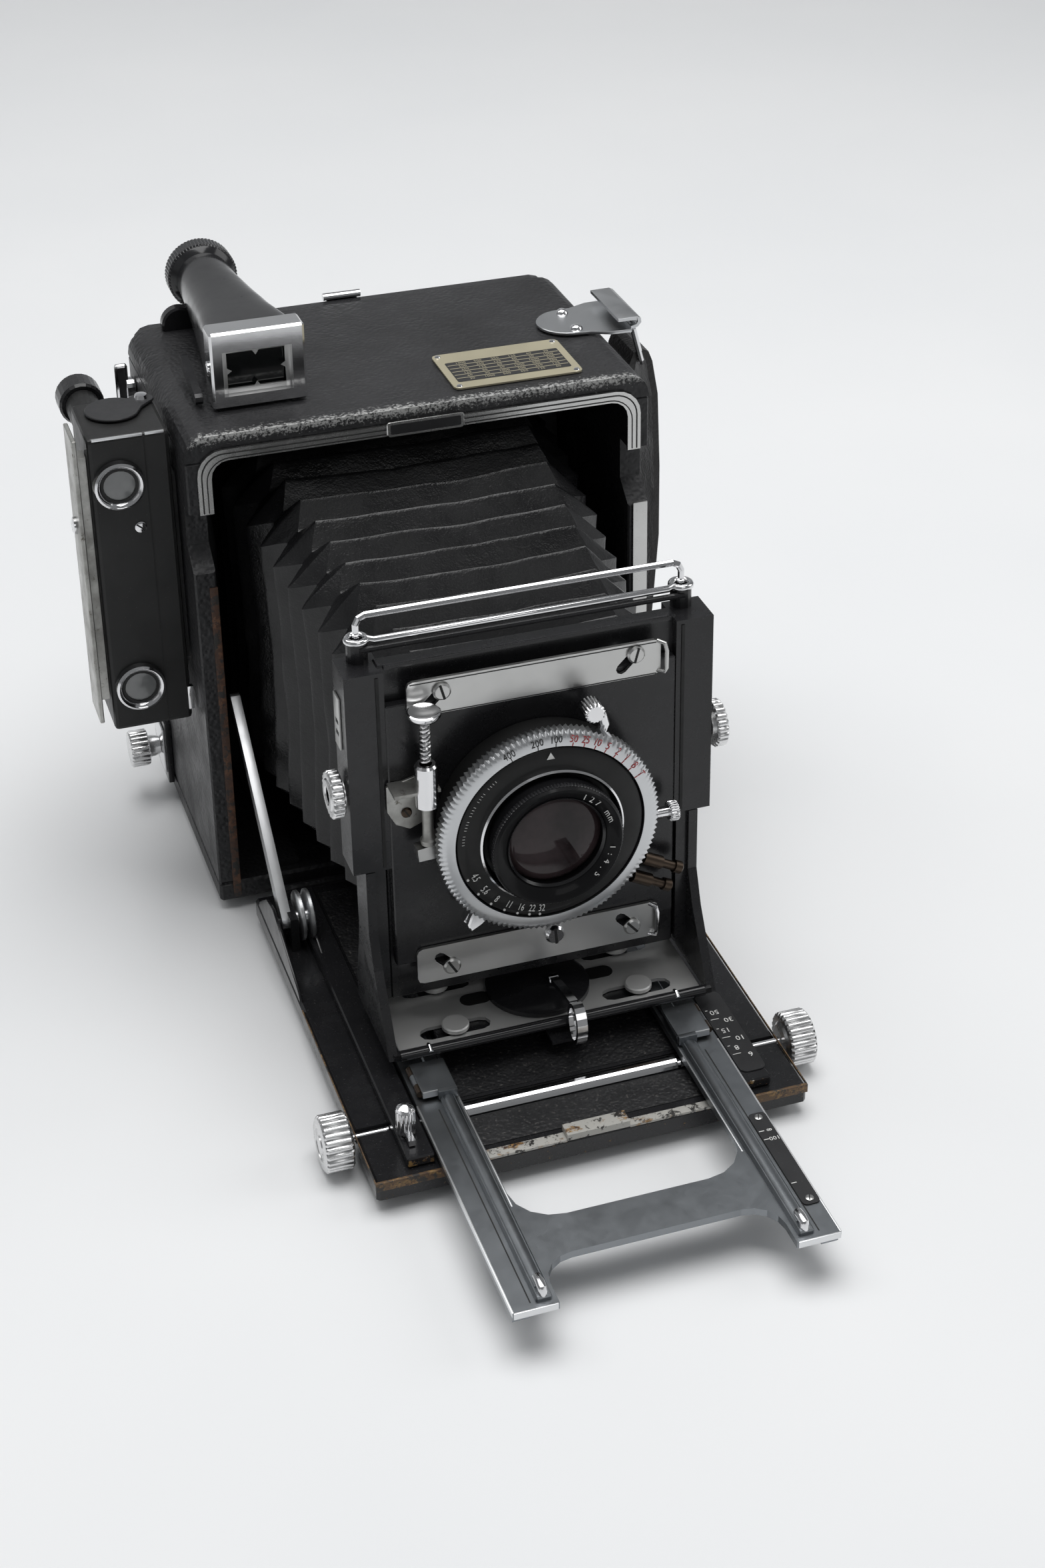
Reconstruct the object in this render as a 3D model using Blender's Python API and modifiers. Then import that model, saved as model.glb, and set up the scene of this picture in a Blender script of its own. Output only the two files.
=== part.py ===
"""A folding press camera, opened for use, as separate closed solids.

Lengths in this file are millimetres and become metres when a shape is made. -Y is the way the
lens points, Z is up and X runs across the camera. The origin is the centre of the tripod
plate's underside, on which the camera stands together with the boss under its bed.
"""

import math

import bmesh
import bpy
from mathutils import Matrix, Vector

MM = 0.001

# Body
HALF_WIDTH = 81.0
HALF_DEPTH = 49.0
BODY_BOTTOM = 3.5
BODY_TOP = 185.3
FLOOR_TOP = 11.0
ROOF_UNDER = 176.6
WALL_INNER = 73.6
GAP = 0.3

# Joint axes
BED_HINGE = (-51.5, 5.2)
STRUT_PIVOT = (-91.0, 20.0)
PINION = (-196.5, 9.6)
UPPER_ROLLER = (39.0, 168.0)
LOWER_ROLLER = (38.0, 20.4)
DOOR_HINGE = (69.6, 39.4)
PEEP_HINGE = (56.5, 185.4)
FINDER_TILT = (-26.0, 187.5)
FINDER_LEVER = (-24.0, 188.2)
EYEPIECE = (-101.0, 166.0)
FLAP_RIVET = (-87.0, -9.0)
TRACK_LOCK = (-57.0, -206.0)
STOP_HINGE = (48.6, 18.1)
RING_HINGE = (-160.0, 25.6)
RISE_KNOB = (-155.0, 109.0)
LENS = (1.3, 93.7)
PLUNGER = (-36.0, -168.2)

# Front standard
STANDARD_X = 1.3
LEG_OFFSET = 52.5
LEG_Y = -149.6
WIRE = 1.1

MATERIALS = {
    "black leather": ((0.02, 0.02, 0.022), 0.0, 0.55),
    "black enamel": ((0.012, 0.012, 0.014), 0.0, 0.25),
    "chrome": ((0.75, 0.75, 0.76), 1.0, 0.15),
    "satin chrome": ((0.62, 0.62, 0.62), 1.0, 0.35),
    "brushed steel": ((0.5, 0.5, 0.5), 1.0, 0.4),
    "track steel": ((0.3, 0.32, 0.35), 1.0, 0.35),
    "brass plate": ((0.62, 0.5, 0.28), 0.9, 0.4),
    "black cloth": ((0.015, 0.015, 0.015), 0.0, 0.9),
    "ground glass": ((0.7, 0.72, 0.72), 0.0, 0.5),
}


def clear_scene():
    for thing in list(bpy.data.objects):
        bpy.data.objects.remove(thing, do_unlink=True)


def new_collection(name):
    collection = bpy.data.collections.new(name)
    bpy.context.scene.collection.children.link(collection)
    return collection


def make_material(name):
    color, metallic, roughness = MATERIALS[name]
    material = bpy.data.materials.new(name)
    material.use_nodes = True
    shader = material.node_tree.nodes["Principled BSDF"]
    shader.inputs["Base Color"].default_value = (*color, 1.0)
    shader.inputs["Metallic"].default_value = metallic
    shader.inputs["Roughness"].default_value = roughness
    return material


clear_scene()
CAMERA = new_collection("press_camera")
HELPERS = new_collection("helpers")
LOOKS = {name: make_material(name) for name in MATERIALS}


def add_object(name, data):
    thing = bpy.data.objects.new(name, data)
    CAMERA.objects.link(thing)
    return thing


def add_bevel(thing, width, segments=1):
    bevel = thing.modifiers.new("edge", "BEVEL")
    bevel.width = width * MM
    bevel.segments = segments
    bevel.limit_method = "ANGLE"
    bevel.angle_limit = math.radians(40)


def block(name, x, y, z, edge=0.0, segments=1):
    """A box between limits on each axis, with its edges cut back by `edge`."""
    shape = bmesh.new()
    bmesh.ops.create_cube(shape, size=1.0)
    spans = (x, y, z)
    for vertex in shape.verts:
        for axis, (low, high) in enumerate(spans):
            middle = (low + high) / 2
            vertex.co[axis] = (middle + vertex.co[axis] * (high - low)) * MM
    data = bpy.data.meshes.new(name)
    shape.to_mesh(data)
    shape.free()
    thing = add_object(name, data)
    if edge:
        add_bevel(thing, edge, segments)
    return thing


def along_axis(axis):
    """The turn that takes local Z to the named axis."""
    if axis == "X":
        return Matrix.Rotation(math.radians(90), 4, "Y")
    if axis == "Y":
        return Matrix.Rotation(math.radians(-90), 4, "X")
    return Matrix.Identity(4)


def on_axis(axis, at):
    """A point on the axis through `at`, its place on the two other axes in X, Y, Z order."""
    if axis == "X":
        return Vector((0, at[0], at[1])) * MM
    if axis == "Y":
        return Vector((at[0], 0, at[1])) * MM
    return Vector((at[0], at[1], 0)) * MM


def turned(name, axis, at, profile, steps=24):
    """A body of revolution from (place along the axis, radius) pairs, closed at both ends."""
    points = sorted(profile, key=lambda pair: -pair[0]) if profile[0][0] < profile[-1][0] else profile
    data = bpy.data.meshes.new(name)
    vertices = [(radius * MM, 0, place * MM) for place, radius in points]
    data.from_pydata(vertices, [(i, i + 1) for i in range(len(vertices) - 1)], [])
    thing = add_object(name, data)
    thing.matrix_world = Matrix.Translation(on_axis(axis, at)) @ along_axis(axis)
    screw = thing.modifiers.new("turn", "SCREW")
    screw.steps = steps
    screw.render_steps = steps
    screw.use_merge_vertices = True
    screw.merge_threshold = 0.00001
    screw.use_smooth_shade = True
    return thing


def rod(name, axis, at, span, radius, steps=16):
    low, high = span
    return turned(name, axis, at, [(high, 0), (high, radius), (low, radius), (low, 0)], steps)


def solid_of_curve(name, curve):
    """The mesh of a curve, welded, in place of the curve."""
    graph = bpy.context.evaluated_depsgraph_get()
    data = bpy.data.meshes.new_from_object(curve.evaluated_get(graph))
    place = curve.matrix_world.copy()
    bpy.data.objects.remove(curve, do_unlink=True)
    shape = bmesh.new()
    shape.from_mesh(data)
    bmesh.ops.remove_doubles(shape, verts=shape.verts, dist=0.000001)
    bmesh.ops.recalc_face_normals(shape, faces=shape.faces)
    shape.transform(place)
    shape.to_mesh(data)
    shape.free()
    return add_object(name, data)


def plate(name, plane, outline, span, holes=()):
    """A flat plate with holes; `span` is its two faces along the plane's normal."""
    curve = bpy.data.curves.new(name, "CURVE")
    curve.dimensions = "2D"
    curve.fill_mode = "BOTH"
    curve.extrude = abs(span[1] - span[0]) / 2 * MM
    for loop in (outline, *holes):
        spline = curve.splines.new("POLY")
        spline.points.add(len(loop) - 1)
        for point, (u, v) in zip(spline.points, loop):
            point.co = (u * MM, v * MM, 0, 1)
        spline.use_cyclic_u = True
    thing = add_object(name + "_curve", curve)
    middle = (span[0] + span[1]) / 2 * MM
    if plane == "XY":
        thing.matrix_world = Matrix.Translation((0, 0, middle))
    elif plane == "XZ":
        thing.matrix_world = Matrix.Translation((0, middle, 0)) @ Matrix.Rotation(math.pi / 2, 4, "X")
    else:
        turn = Matrix(((0, 0, 1, 0), (1, 0, 0, 0), (0, 1, 0, 0), (0, 0, 0, 1)))
        thing.matrix_world = Matrix.Translation((middle, 0, 0)) @ turn
    bpy.context.view_layer.update()
    return solid_of_curve(name, thing)


def wire(name, points, radius, closed=False):
    """A round wire along straight runs between points."""
    curve = bpy.data.curves.new(name, "CURVE")
    curve.dimensions = "3D"
    curve.bevel_depth = radius * MM
    curve.bevel_resolution = 2
    curve.use_fill_caps = not closed
    spline = curve.splines.new("POLY")
    spline.points.add(len(points) - 1)
    for point, place in zip(spline.points, points):
        point.co = (*(c * MM for c in place), 1)
    spline.use_cyclic_u = closed
    thing = add_object(name + "_curve", curve)
    bpy.context.view_layer.update()
    return solid_of_curve(name, thing)


def arc(centre, radius, start, end, steps):
    """Points on a circle between two angles in degrees."""
    points = []
    for i in range(steps + 1):
        angle = math.radians(start + (end - start) * i / steps)
        points.append((centre[0] + radius * math.cos(angle), centre[1] + radius * math.sin(angle)))
    return points


def circle(centre, radius, steps=16):
    return arc(centre, radius, 0, 360 - 360 / steps, steps - 1)


def rounded(u, v, radius, steps=3):
    """A rectangle between limits with rounded corners."""
    (low_u, high_u), (low_v, high_v) = u, v
    points = []
    points += arc((high_u - radius, high_v - radius), radius, 0, 90, steps)
    points += arc((low_u + radius, high_v - radius), radius, 90, 180, steps)
    points += arc((low_u + radius, low_v + radius), radius, 180, 270, steps)
    points += arc((high_u - radius, low_v + radius), radius, 270, 360, steps)
    return points


def capsule(start, end, radius, steps=5):
    """The outline of a bar with round ends between two points."""
    slope = math.degrees(math.atan2(end[1] - start[1], end[0] - start[0]))
    points = arc(end, radius, slope - 90, slope + 90, steps)
    return points + arc(start, radius, slope + 90, slope + 270, steps)


def ribbon(path, thickness):
    """The outline of a strip of even thickness along a path."""
    sides = ([], [])
    for i, (u, v) in enumerate(path):
        before = path[max(i - 1, 0)]
        after = path[min(i + 1, len(path) - 1)]
        du, dv = after[0] - before[0], after[1] - before[1]
        length = math.hypot(du, dv)
        offset = (-dv / length * thickness / 2, du / length * thickness / 2)
        sides[0].append((u + offset[0], v + offset[1]))
        sides[1].append((u - offset[0], v - offset[1]))
    return sides[0] + sides[1][::-1]


def combine(target, tools, operation):
    for tool in tools:
        modifier = target.modifiers.new("solid", "BOOLEAN")
        modifier.operation = operation
        modifier.object = tool
        modifier.solver = "EXACT"
        tool.hide_render = True
        tool.display_type = "WIRE"
        CAMERA.objects.unlink(tool)
        HELPERS.objects.link(tool)
    return target


def join(target, *tools):
    return combine(target, tools, "UNION")


def cut(target, *tools):
    return combine(target, tools, "DIFFERENCE")


def looks(thing, material):
    thing.data.materials.append(LOOKS[material])
    return thing


def pivot(thing, x, y, z):
    """Moves the object's origin to a point, leaving its shape where it is."""
    place = Vector((x, y, z)) * MM
    thing.data.transform(Matrix.Translation(thing.location - place))
    thing.location = place
    return thing


def make_body():
    low_corner = [(-HALF_WIDTH, ROOF_UNDER), (HALF_WIDTH, ROOF_UNDER)]
    high = arc((HALF_WIDTH - 8, BODY_TOP - 8), 8, 0, 90, 5)
    high += arc((-HALF_WIDTH + 8, BODY_TOP - 8), 8, 90, 180, 5)
    looks(plate("body_top", "XZ", low_corner + high, (-HALF_DEPTH, HALF_DEPTH)), "black leather")

    floor = block(
        "body_bottom", (-HALF_WIDTH, HALF_WIDTH), (-HALF_DEPTH, HALF_DEPTH), (BODY_BOTTOM, FLOOR_TOP), 1.0
    )
    parts = []
    for side in (-1, 1):
        rail = sorted((side * 51, side * 59))
        parts.append(block(f"inner_rail_{side}", rail, (-45, 25), (10, 13.4)))
        knuckle = sorted((side * 31, side * 60))
        parts.append(rod(f"knuckle_{side}", "X", BED_HINGE, knuckle, 1.7, 12))
        parts.append(block(f"knuckle_web_{side}", knuckle, (BED_HINGE[0], -48), (4.6, 5.8)))
    looks(join(floor, *parts), "black leather")

    for name, side in (("body_left", -1), ("body_right", 1)):
        span = sorted((side * HALF_WIDTH, side * WALL_INNER))
        wall = block(name, span, (-HALF_DEPTH, HALF_DEPTH), (FLOOR_TOP + GAP, ROOF_UNDER - GAP), 0.6)
        beyond = sorted((side * 90, side * 65))
        notch = plate(
            f"notch_{side}", "YZ", [(-52, 158), (-40.5, 158), (-40.5, 143), (-52, 133)], beyond
        )
        cut(wall, notch)
        if side < 0:
            cut(wall, rod("key_hole", "X", UPPER_ROLLER, beyond, 2.4, 20))
        looks(wall, "black leather")

    outer = [(-77.5, 158)] + arc((-68.5, 171.6), 9, 180, 90, 5) + arc((68.5, 171.6), 9, 90, 0, 5)
    inner = [(72.8, 158)] + arc((66.8, 170.7), 6, 0, 90, 4) + arc((-66.8, 170.7), 6, 90, 180, 4)
    trim = outer + [(77.5, 158)] + inner + [(-72.8, 158)]
    looks(plate("front_trim", "XZ", trim, (-50.5, -49.3)), "satin chrome")
    table = rounded((14, 60), (-41.5, -11.5), 2, 2)
    looks(plate("exposure_plate", "XY", table, (185.6, 186.2)), "brass plate")
    foot = block("tripod_plate", (-24, 24), (-20, 20), (0, 3.2), 1.2, 2)
    looks(foot, "satin chrome")


def make_inside():
    outer = [(-73.3, 11.3), (73.3, 11.3), (73.3, 176.3), (-73.3, 176.3)]
    opening = rounded((-58, 58), (26, 160), 4, 2)
    looks(plate("bellows_rear_frame", "XZ", outer, (27.3, 31), [opening]), "black enamel")
    curtain = [(-64, 22), (64, 22), (64, 166), (-64, 166)]
    window = [(-54, 40), (54, 40), (54, 150), (-54, 150)]
    looks(plate("shutter_curtain", "XZ", curtain, (45.6, 46.2), [window]), "black cloth")
    roller = [(72.8, 0), (72.8, 5), (-72.8, 5), (-72.8, 2), (-81.2, 2), (-81.2, 0)]
    looks(turned("shutter_roller_upper", "X", UPPER_ROLLER, roller, 16), "black enamel")
    looks(rod("shutter_roller_lower", "X", LOWER_ROLLER, (-72.8, 72.8), 5), "black enamel")

    key = turned("winding_key", "X", UPPER_ROLLER, [(-81.5, 0), (-81.5, 4), (-84.2, 4), (-84.2, 0)], 16)
    wing_y = (UPPER_ROLLER[0] - 1.4, UPPER_ROLLER[0] + 1.4)
    wing_z = (UPPER_ROLLER[1] - 9.5, UPPER_ROLLER[1] + 9.5)
    looks(join(key, block("key_wing", (-88, -83.4), wing_y, wing_z, 1.0, 2)), "chrome")
    knob = [(-81.4, 0), (-81.4, 2.6), (-88.5, 2.6), (-88.5, 6.5), (-95, 6.5), (-95, 0)]
    looks(turned("tension_knob", "X", LOWER_ROLLER, knob, 20), "chrome")


def make_back():
    frame = rounded((-78, 78), (7, 184.2), 6, 3)
    opening = [(-60, 42), (60, 42), (60, 148), (-60, 148)]
    looks(plate("back_frame", "XZ", frame, (49.3, 55.2), [opening]), "black enamel")
    back = block("spring_back", (-74, 74), (55.6, 66), (24, 166), 1.0)
    cut(
        back,
        block("back_window", (-62, 62), (50, 70), (44, 146)),
        block("glass_recess", (-65.8, 65.8), (50, 62.6), (40.7, 149.3)),
    )
    looks(back, "black enamel")
    looks(block("ground_glass", (-65.4, 65.4), (60.2, 62.2), (41.1, 148.9)), "ground glass")
    door = block("hood_door", (-66, 66), (66.5, 69.3), (39.8, 150))
    join(door, rod("door_barrel", "X", DOOR_HINGE, (-60, 60), 1.5, 12))
    looks(pivot(door, 0, *DOOR_HINGE), "black leather")
    hole = circle((0, 174), 2, 12)
    sight = plate("peep_sight", "XZ", rounded((-6, 6), (169, 184.8), 1.5, 2), (55.9, 57.1), [hole])
    join(sight, rod("sight_barrel", "X", PEEP_HINGE, (-7, 7), 1.4, 12))
    looks(pivot(sight, 0, *PEEP_HINGE), "chrome")


def make_finder():
    shoe = block("finder_shoe", (-58, -44), (-20, 47), (185.6, 187.2), 0.4)
    button = rod("finder_button", "Z", (-66, 46), (185.6, 189), 5.5)
    link = block("button_link", (-66, -56), (43, 46.5), (185.6, 186.8))
    looks(join(shoe, button, link), "black enamel")
    tube = [(62, 0), (62, 10.8), (54, 10.8), (54, 9.6), (-21, 11.8), (-21, 0)]
    pipe = turned("finder_tube", "Y", (-50.8, 199.6), tube, 28)
    cut(pipe, rod("eye_recess", "Y", (-50.8, 199.6), (57, 66), 5, 20))
    looks(pipe, "black enamel")
    frame = block("finder_frame", (-66.6, -34.5), (-31.2, -21.3), (185.9, 213.2), 0.8)
    cut(frame, block("finder_window", (-62.7, -39.1), (-34, -25), (190.4, 206.2)))
    looks(pivot(frame, -50.6, *FINDER_TILT), "chrome")
    outline = capsule(FINDER_LEVER, (-3, 193.6), 2.0, 4)
    lever = plate("finder_lever", "YZ", outline, (-71.6, -69))
    looks(pivot(lever, -70, *FINDER_LEVER), "black enamel")


def make_strap():
    tip = arc((62, 4), 4, 90, 270, 5)
    outline = tip + [(73, -14.6), (77.5, -14.6), (77.5, 16.5), (73, 16.5)]
    bracket = plate("strap_bracket", "XY", outline, (185.6, 187))
    fold = [(70, 186.4), (78, 186.6), (86, 189.8), (89.4, 190.1), (91, 188.8), (91.2, 186.4)]
    tongue = plate("tongue", "XZ", ribbon(fold, 1.3), (-14, 14.5))
    looks(join(bracket, tongue), "chrome")
    top, low = (88.3, 187.6), (92.2, 172.6)
    loop = [
        (top[0], -11.6, top[1]),
        (top[0], 12.1, top[1]),
        (top[0] + 0.4, 13.2, top[1] - 1.5),
        (low[0] - 0.4, 13.2, low[1] + 1.5),
        (low[0], 12.1, low[1]),
        (low[0], -11.6, low[1]),
        (low[0] - 0.4, -12.7, low[1] + 1.5),
        (top[0] + 0.4, -12.7, top[1] - 1.5),
    ]
    looks(wire("strap_loop", loop, WIRE, closed=True), "chrome")
    path = [(86.6, 140), (87.4, 160), (89.2, 172), (90.6, 175.6), (92.4, 176.4), (94.3, 175.4)]
    path += [(95.6, 172), (97.8, 159), (98.8, 130), (98.8, 102), (96.5, 71), (92, 45), (87.4, 26)]
    path += [(84, 16), (83.2, 9)]
    looks(plate("hand_strap", "XZ", ribbon(path, 2.3), (-11, 11.4)), "black leather")


def make_rangefinder():
    box = block("rangefinder_housing", (-110.2, -83), (-35, -4), (73, 183.5), 1.4, 2)
    parts = [block("housing_foot", (-84.5, -81.3), (-30, -8), (95, 165))]
    parts.append(rod("housing_tube", "Y", EYEPIECE, (-6, 33.7), 6, 20))
    for index, at in enumerate(((-101, 166.6), (-100.3, 89.8))):
        parts.append(rod(f"bezel_{index}", "Y", at, (-36.8, -33), 7.6, 20))
    join(box, *parts)
    for index, at in enumerate(((-101, 166.6), (-100.3, 89.8))):
        cut(box, rod(f"lens_recess_{index}", "Y", at, (-40, -35.6), 5.4, 20))
    looks(box, "black enamel")
    side = block("rangefinder_side_plate", (-115.1, -113.6), (-35, -19), (77, 184), 0.3)
    join(side, block("side_rail", (-114, -110.5), (-31, -25), (84, 176)))
    looks(side, "brushed steel")
    eye = turned(
        "rangefinder_eyepiece", "Y", EYEPIECE, [(45, 0), (45, 7.4), (44, 8), (35, 8), (34, 7.2), (34, 0)], 24
    )
    cut(eye, rod("eye_bore", "Y", EYEPIECE, (39, 50), 4.2, 16))
    looks(eye, "black enamel")
    flap = plate("rangefinder_flap", "XY", rounded((-108, -82.4), (-17, -7), 3, 2), (183.9, 184.9))
    join(flap, rod("flap_rivet", "Z", FLAP_RIVET, (184.2, 186), 1.8, 12))
    looks(pivot(flap, *FLAP_RIVET, 184.4), "brushed steel")


def make_bed():
    bed = block("bed_panel", (-71, 71), (-221.6, -60.7), (BODY_BOTTOM, FLOOR_TOP), 1.0)
    parts = [
        block("latch_lip", (-9.6, 10.7), (-221.2, -216.6), (10, 13.1)),
        block("bed_boss", (-20, 20), (-172, -128), (0, 5), 1.2, 2),
        block("hinge_leaf", (-30.4, 30.4), (-62, BED_HINGE[0]), (3.8, 5.8)),
        rod("hinge_barrel", "X", BED_HINGE, (-30.4, 30.4), 1.7, 12),
    ]
    for side in (-1, 1):
        ear = sorted((side * 66.2, side * 63.4))
        parts.append(block(f"strut_ear_{side}", ear, (-97, -85), (10, 24)))
        pin = sorted((side * 69.6, side * 64.5))
        parts.append(rod(f"strut_pin_{side}", "X", STRUT_PIVOT, pin, 1.5, 12))
    join(bed, *parts)
    cut(
        bed,
        block("tube_trough", (-44.6, 44.6), (-200.8, -192.2), (5.6, 20)),
        block("core_slot", (-80, 80), (-198.4, -194.6), (7.9, 20)),
    )
    looks(pivot(bed, 0, *BED_HINGE), "black enamel")
    for name, side in (("bed_guide_left", -1), ("bed_guide_right", 1)):
        band = sorted((side * 51.2, side * 60))
        looks(block(name, band, (-218, -66), (11.3, 14.8), 0.5), "black enamel")

    half = [(72, 0), (72, 1.3), (43.6, 1.3), (43.6, 3.3), (36.8, 3.3), (36.8, 1.6), (35.6, 1.6), (35.6, 3.5)]
    shaft = half + [(-place, radius) for place, radius in half[::-1]]
    looks(turned("focus_shaft", "X", PINION, shaft, 20), "chrome")
    for name, side in (("focus_knob_left", -1), ("focus_knob_right", 1)):
        profile = [(72.3, 0), (72.3, 5), (73.6, 9.2), (81, 9.2), (82.5, 8.2), (82.5, 0)]
        profile = [(side * place, radius) for place, radius in profile]
        looks(turned(name, "X", PINION, profile if side < 0 else profile[::-1], 30), "chrome")

    post = [(25, 0), (25, 2.1), (24, 2.6), (16, 2.6), (15.1, 2.1), (15.1, 0)]
    lock = turned("track_lock", "Z", TRACK_LOCK, post, 16)
    x, y = TRACK_LOCK
    looks(join(lock, block("lock_tail", (x - 1, x + 1), (y - 7, y), (15.3, 17.3))), "chrome")

    for name, side in (("strut_left", -1), ("strut_right", 1)):
        span = sorted((side * 68.5, side * 66.8))
        outline = capsule(STRUT_PIVOT, (-43.3, 98), 4.4, 5)
        slot = capsule((-49.5, 87.8), (-45, 95.2), 1.6, 4)
        strut = plate(name, "YZ", outline, span, [circle(STRUT_PIVOT, 1.9, 14), slot])
        looks(pivot(strut, side * 67.6, *STRUT_PIVOT), "chrome")


def make_track():
    left = [(-50.6, -138), (-50.6, -292.5), (-36.6, -292.5)]
    front = arc((-26.6, -284), 10, 180, 90, 4) + arc((26.6, -284), 10, 90, 0, 4)
    right = [(36.6, -292.5), (50.6, -292.5), (50.6, -138), (36.6, -138)]
    rear = arc((22.6, -244), 14, 0, -90, 4) + arc((-22.6, -244), 14, -90, -180, 4)
    track = plate("track_plate", "XY", left + front + right + rear + [(-36.6, -138)], (13.6, 16))
    for side in (-1, 1):
        rib = sorted((side * 38, side * 43))
        keel = sorted((side * 45, side * 50.4))
        join(
            track,
            block(f"rib_{side}", rib, (-290.5, -139), (15, 17.5), 0.5),
            block(f"keel_{side}", keel, (-291, -139), (11.4, 14.5)),
        )
    looks(track, "track steel")
    for name, side in (("stop_left", -1), ("stop_right", 1)):
        span = sorted((side * 37, side * 48.2))
        leaf = block(name, span, (-194.5, -180), (17.9, 19.2), 0.2)
        x, z = STOP_HINGE
        join(leaf, rod(f"stop_barrel_{side}", "Y", (side * x, z), (-193, -181.5), 1.1, 12))
        looks(pivot(leaf, side * x, -187, z), "track steel")


def make_carriage():
    base = block("standard_carriage", (-35.8, 36.4), (-174, -142), (16.3, 19.2), 0.4)
    tab = block("carriage_tab", (-1, 11), (-182, -172), (16.4, 17.6))
    parts = [tab]
    for index, at in enumerate(((-29.4, -168.3), (33.6, -167.8), (33.7, -144.9), (-29.6, -145.2))):
        parts.append(
            turned(f"stud_{index}", "Z", at, [(22.6, 0), (22.6, 4.4), (21.1, 4.4), (21.1, 2), (18, 2), (18, 0)], 16)
        )
    looks(join(base, *parts), "black enamel")

    slots = []
    for start, y in ((-41.4, -168.3), (20.9, -168.3), (20.9, -145.2), (-41.4, -145.2)):
        slots.append(capsule((start + 3.2, y), (start + 20.6, y), 3.2, 4))
    outline = rounded((-49.5, 53), (-175.6, -139.8), 1.5, 2)
    steel = plate("standard_base", "XY", outline, (19.5, 20.7), slots)
    disc = [(23.2, 0), (23.2, 6), (22.2, 14), (21.2, 17), (20.2, 17), (20.2, 0)]
    looks(join(steel, turned("lock_disc", "Z", (2.5, -156), disc, 28)), "brushed steel")

    loop = [(-184.8 + 5.2 * math.cos(a), 25.4 + 7.4 * math.sin(a)) for a in angles(20)]
    inner = [(-184.8 + 3.7 * math.cos(a), 25.4 + 5.9 * math.sin(a)) for a in angles(20)]
    ring = plate("standard_lock", "YZ", loop, (4.9, 8.3), [inner])
    arm = [(-159, 25.6), (-170, 28.6), (-181, 30.6)]
    join(
        ring,
        plate("lock_arm", "YZ", ribbon(arm, 1.7), (5.2, 8)),
        rod("lock_barrel", "X", RING_HINGE, (5.0, 8.2), 1.9, 12),
    )
    looks(pivot(ring, 6.6, *RING_HINGE), "chrome")


def angles(count):
    return [2 * math.pi * i / count for i in range(count)]


def make_standard():
    x0 = STANDARD_X
    foot = [(-178.5, 21.0), (-141, 21.0), (-141, 30), (-147, 52), (-147, 80.4), (-159.6, 80.4)]
    foot += [(-159.6, 58), (-164, 46)]
    frame = None
    parts = []
    for side in (-1, 1):
        span = sorted((x0 + side * 52.6, x0 + side * 55.6))
        cheek = plate("standard_frame" if side < 0 else "cheek_right", "YZ", foot, span)
        post = sorted((x0 + side * 48.8, x0 + side * 55.6))
        parts.append(block(f"post_{side}", post, (-158, -147.4), (30, 80.2)))
        bar = sorted((x0 + side * 51.6, x0 + side * 55.2))
        parts.append(block(f"slide_bar_{side}", bar, (-157, -153), (75, 146)))
        if side < 0:
            frame = cheek
        else:
            parts.append(cheek)
    parts.append(block("front_bar", (x0 - 54, x0 + 54), (-178.8, -176.4), (21, 23)))
    parts.append(block("rear_bar", (x0 - 54, x0 + 54), (-148, -143), (24.2, 32)))
    looks(join(frame, *parts), "black enamel")

    panel = block("lens_panel", (-47.1, 49.7), (-156.6, -151), (28.5, 152), 0.5)
    parts = []
    holes = []
    for side in (-1, 1):
        span = sorted((x0 + side * 47.2, x0 + side * 59.6))
        parts.append(block(f"sleeve_{side}", span, (-160, -146.6), (81, 151.5)))
        leg = (x0 + side * LEG_OFFSET, LEG_Y)
        parts.append(rod(f"collar_{side}", "Z", leg, (150, 157.6), 3.4, 16))
        pocket = sorted((x0 + side * 51.2, x0 + side * 55.7))
        holes.append(block(f"pocket_{side}", pocket, (-157.4, -152.6), (70, 149.8)))
        holes.append(rod(f"leg_hole_{side}", "Z", leg, (70, 170), 1.5, 12))
    for name, x, z in (("a", -28.6, 143.2), ("b", 34.1, 143.9), ("c", -28.2, 41.2), ("d", 33.3, 41.9)):
        parts.append(rod(f"clip_post_{name}", "Y", (x, z), (-163.4, -155), 1.3, 12))
    cross = [(x0 + side * LEG_OFFSET, LEG_Y - 2.9, 156.2) for side in (-1, 1)]
    parts.append(wire("cross_wire", cross, 1.0))
    join(panel, *parts)
    holes.append(rod("lens_hole", "Y", LENS, (-170, -140), 24, 28))
    cut(panel, *holes)
    looks(panel, "black enamel")

    for name, side in (("rise_knob_left", -1), ("rise_knob_right", 1)):
        near = x0 + side * 59.9
        profile = [(near, 0), (near, 4), (near + side * 1.6, 4), (near + side * 1.6, 9)]
        profile += [(near + side * 6, 9), (near + side * 6, 0)]
        looks(turned(name, "X", RISE_KNOB, profile if side < 0 else profile[::-1], 24), "chrome")

    legs = [
        (x0 - LEG_OFFSET, LEG_Y, 83),
        (x0 - LEG_OFFSET, LEG_Y, 163.6),
        (x0 - LEG_OFFSET + 1, LEG_Y, 165.6),
        (x0 - LEG_OFFSET + 3, LEG_Y, 166.5),
        (x0 + LEG_OFFSET - 3, LEG_Y, 166.5),
        (x0 + LEG_OFFSET - 1, LEG_Y, 165.6),
        (x0 + LEG_OFFSET, LEG_Y, 163.6),
        (x0 + LEG_OFFSET, LEG_Y, 83),
    ]
    looks(wire("wire_finder", legs, WIRE), "chrome")


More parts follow.
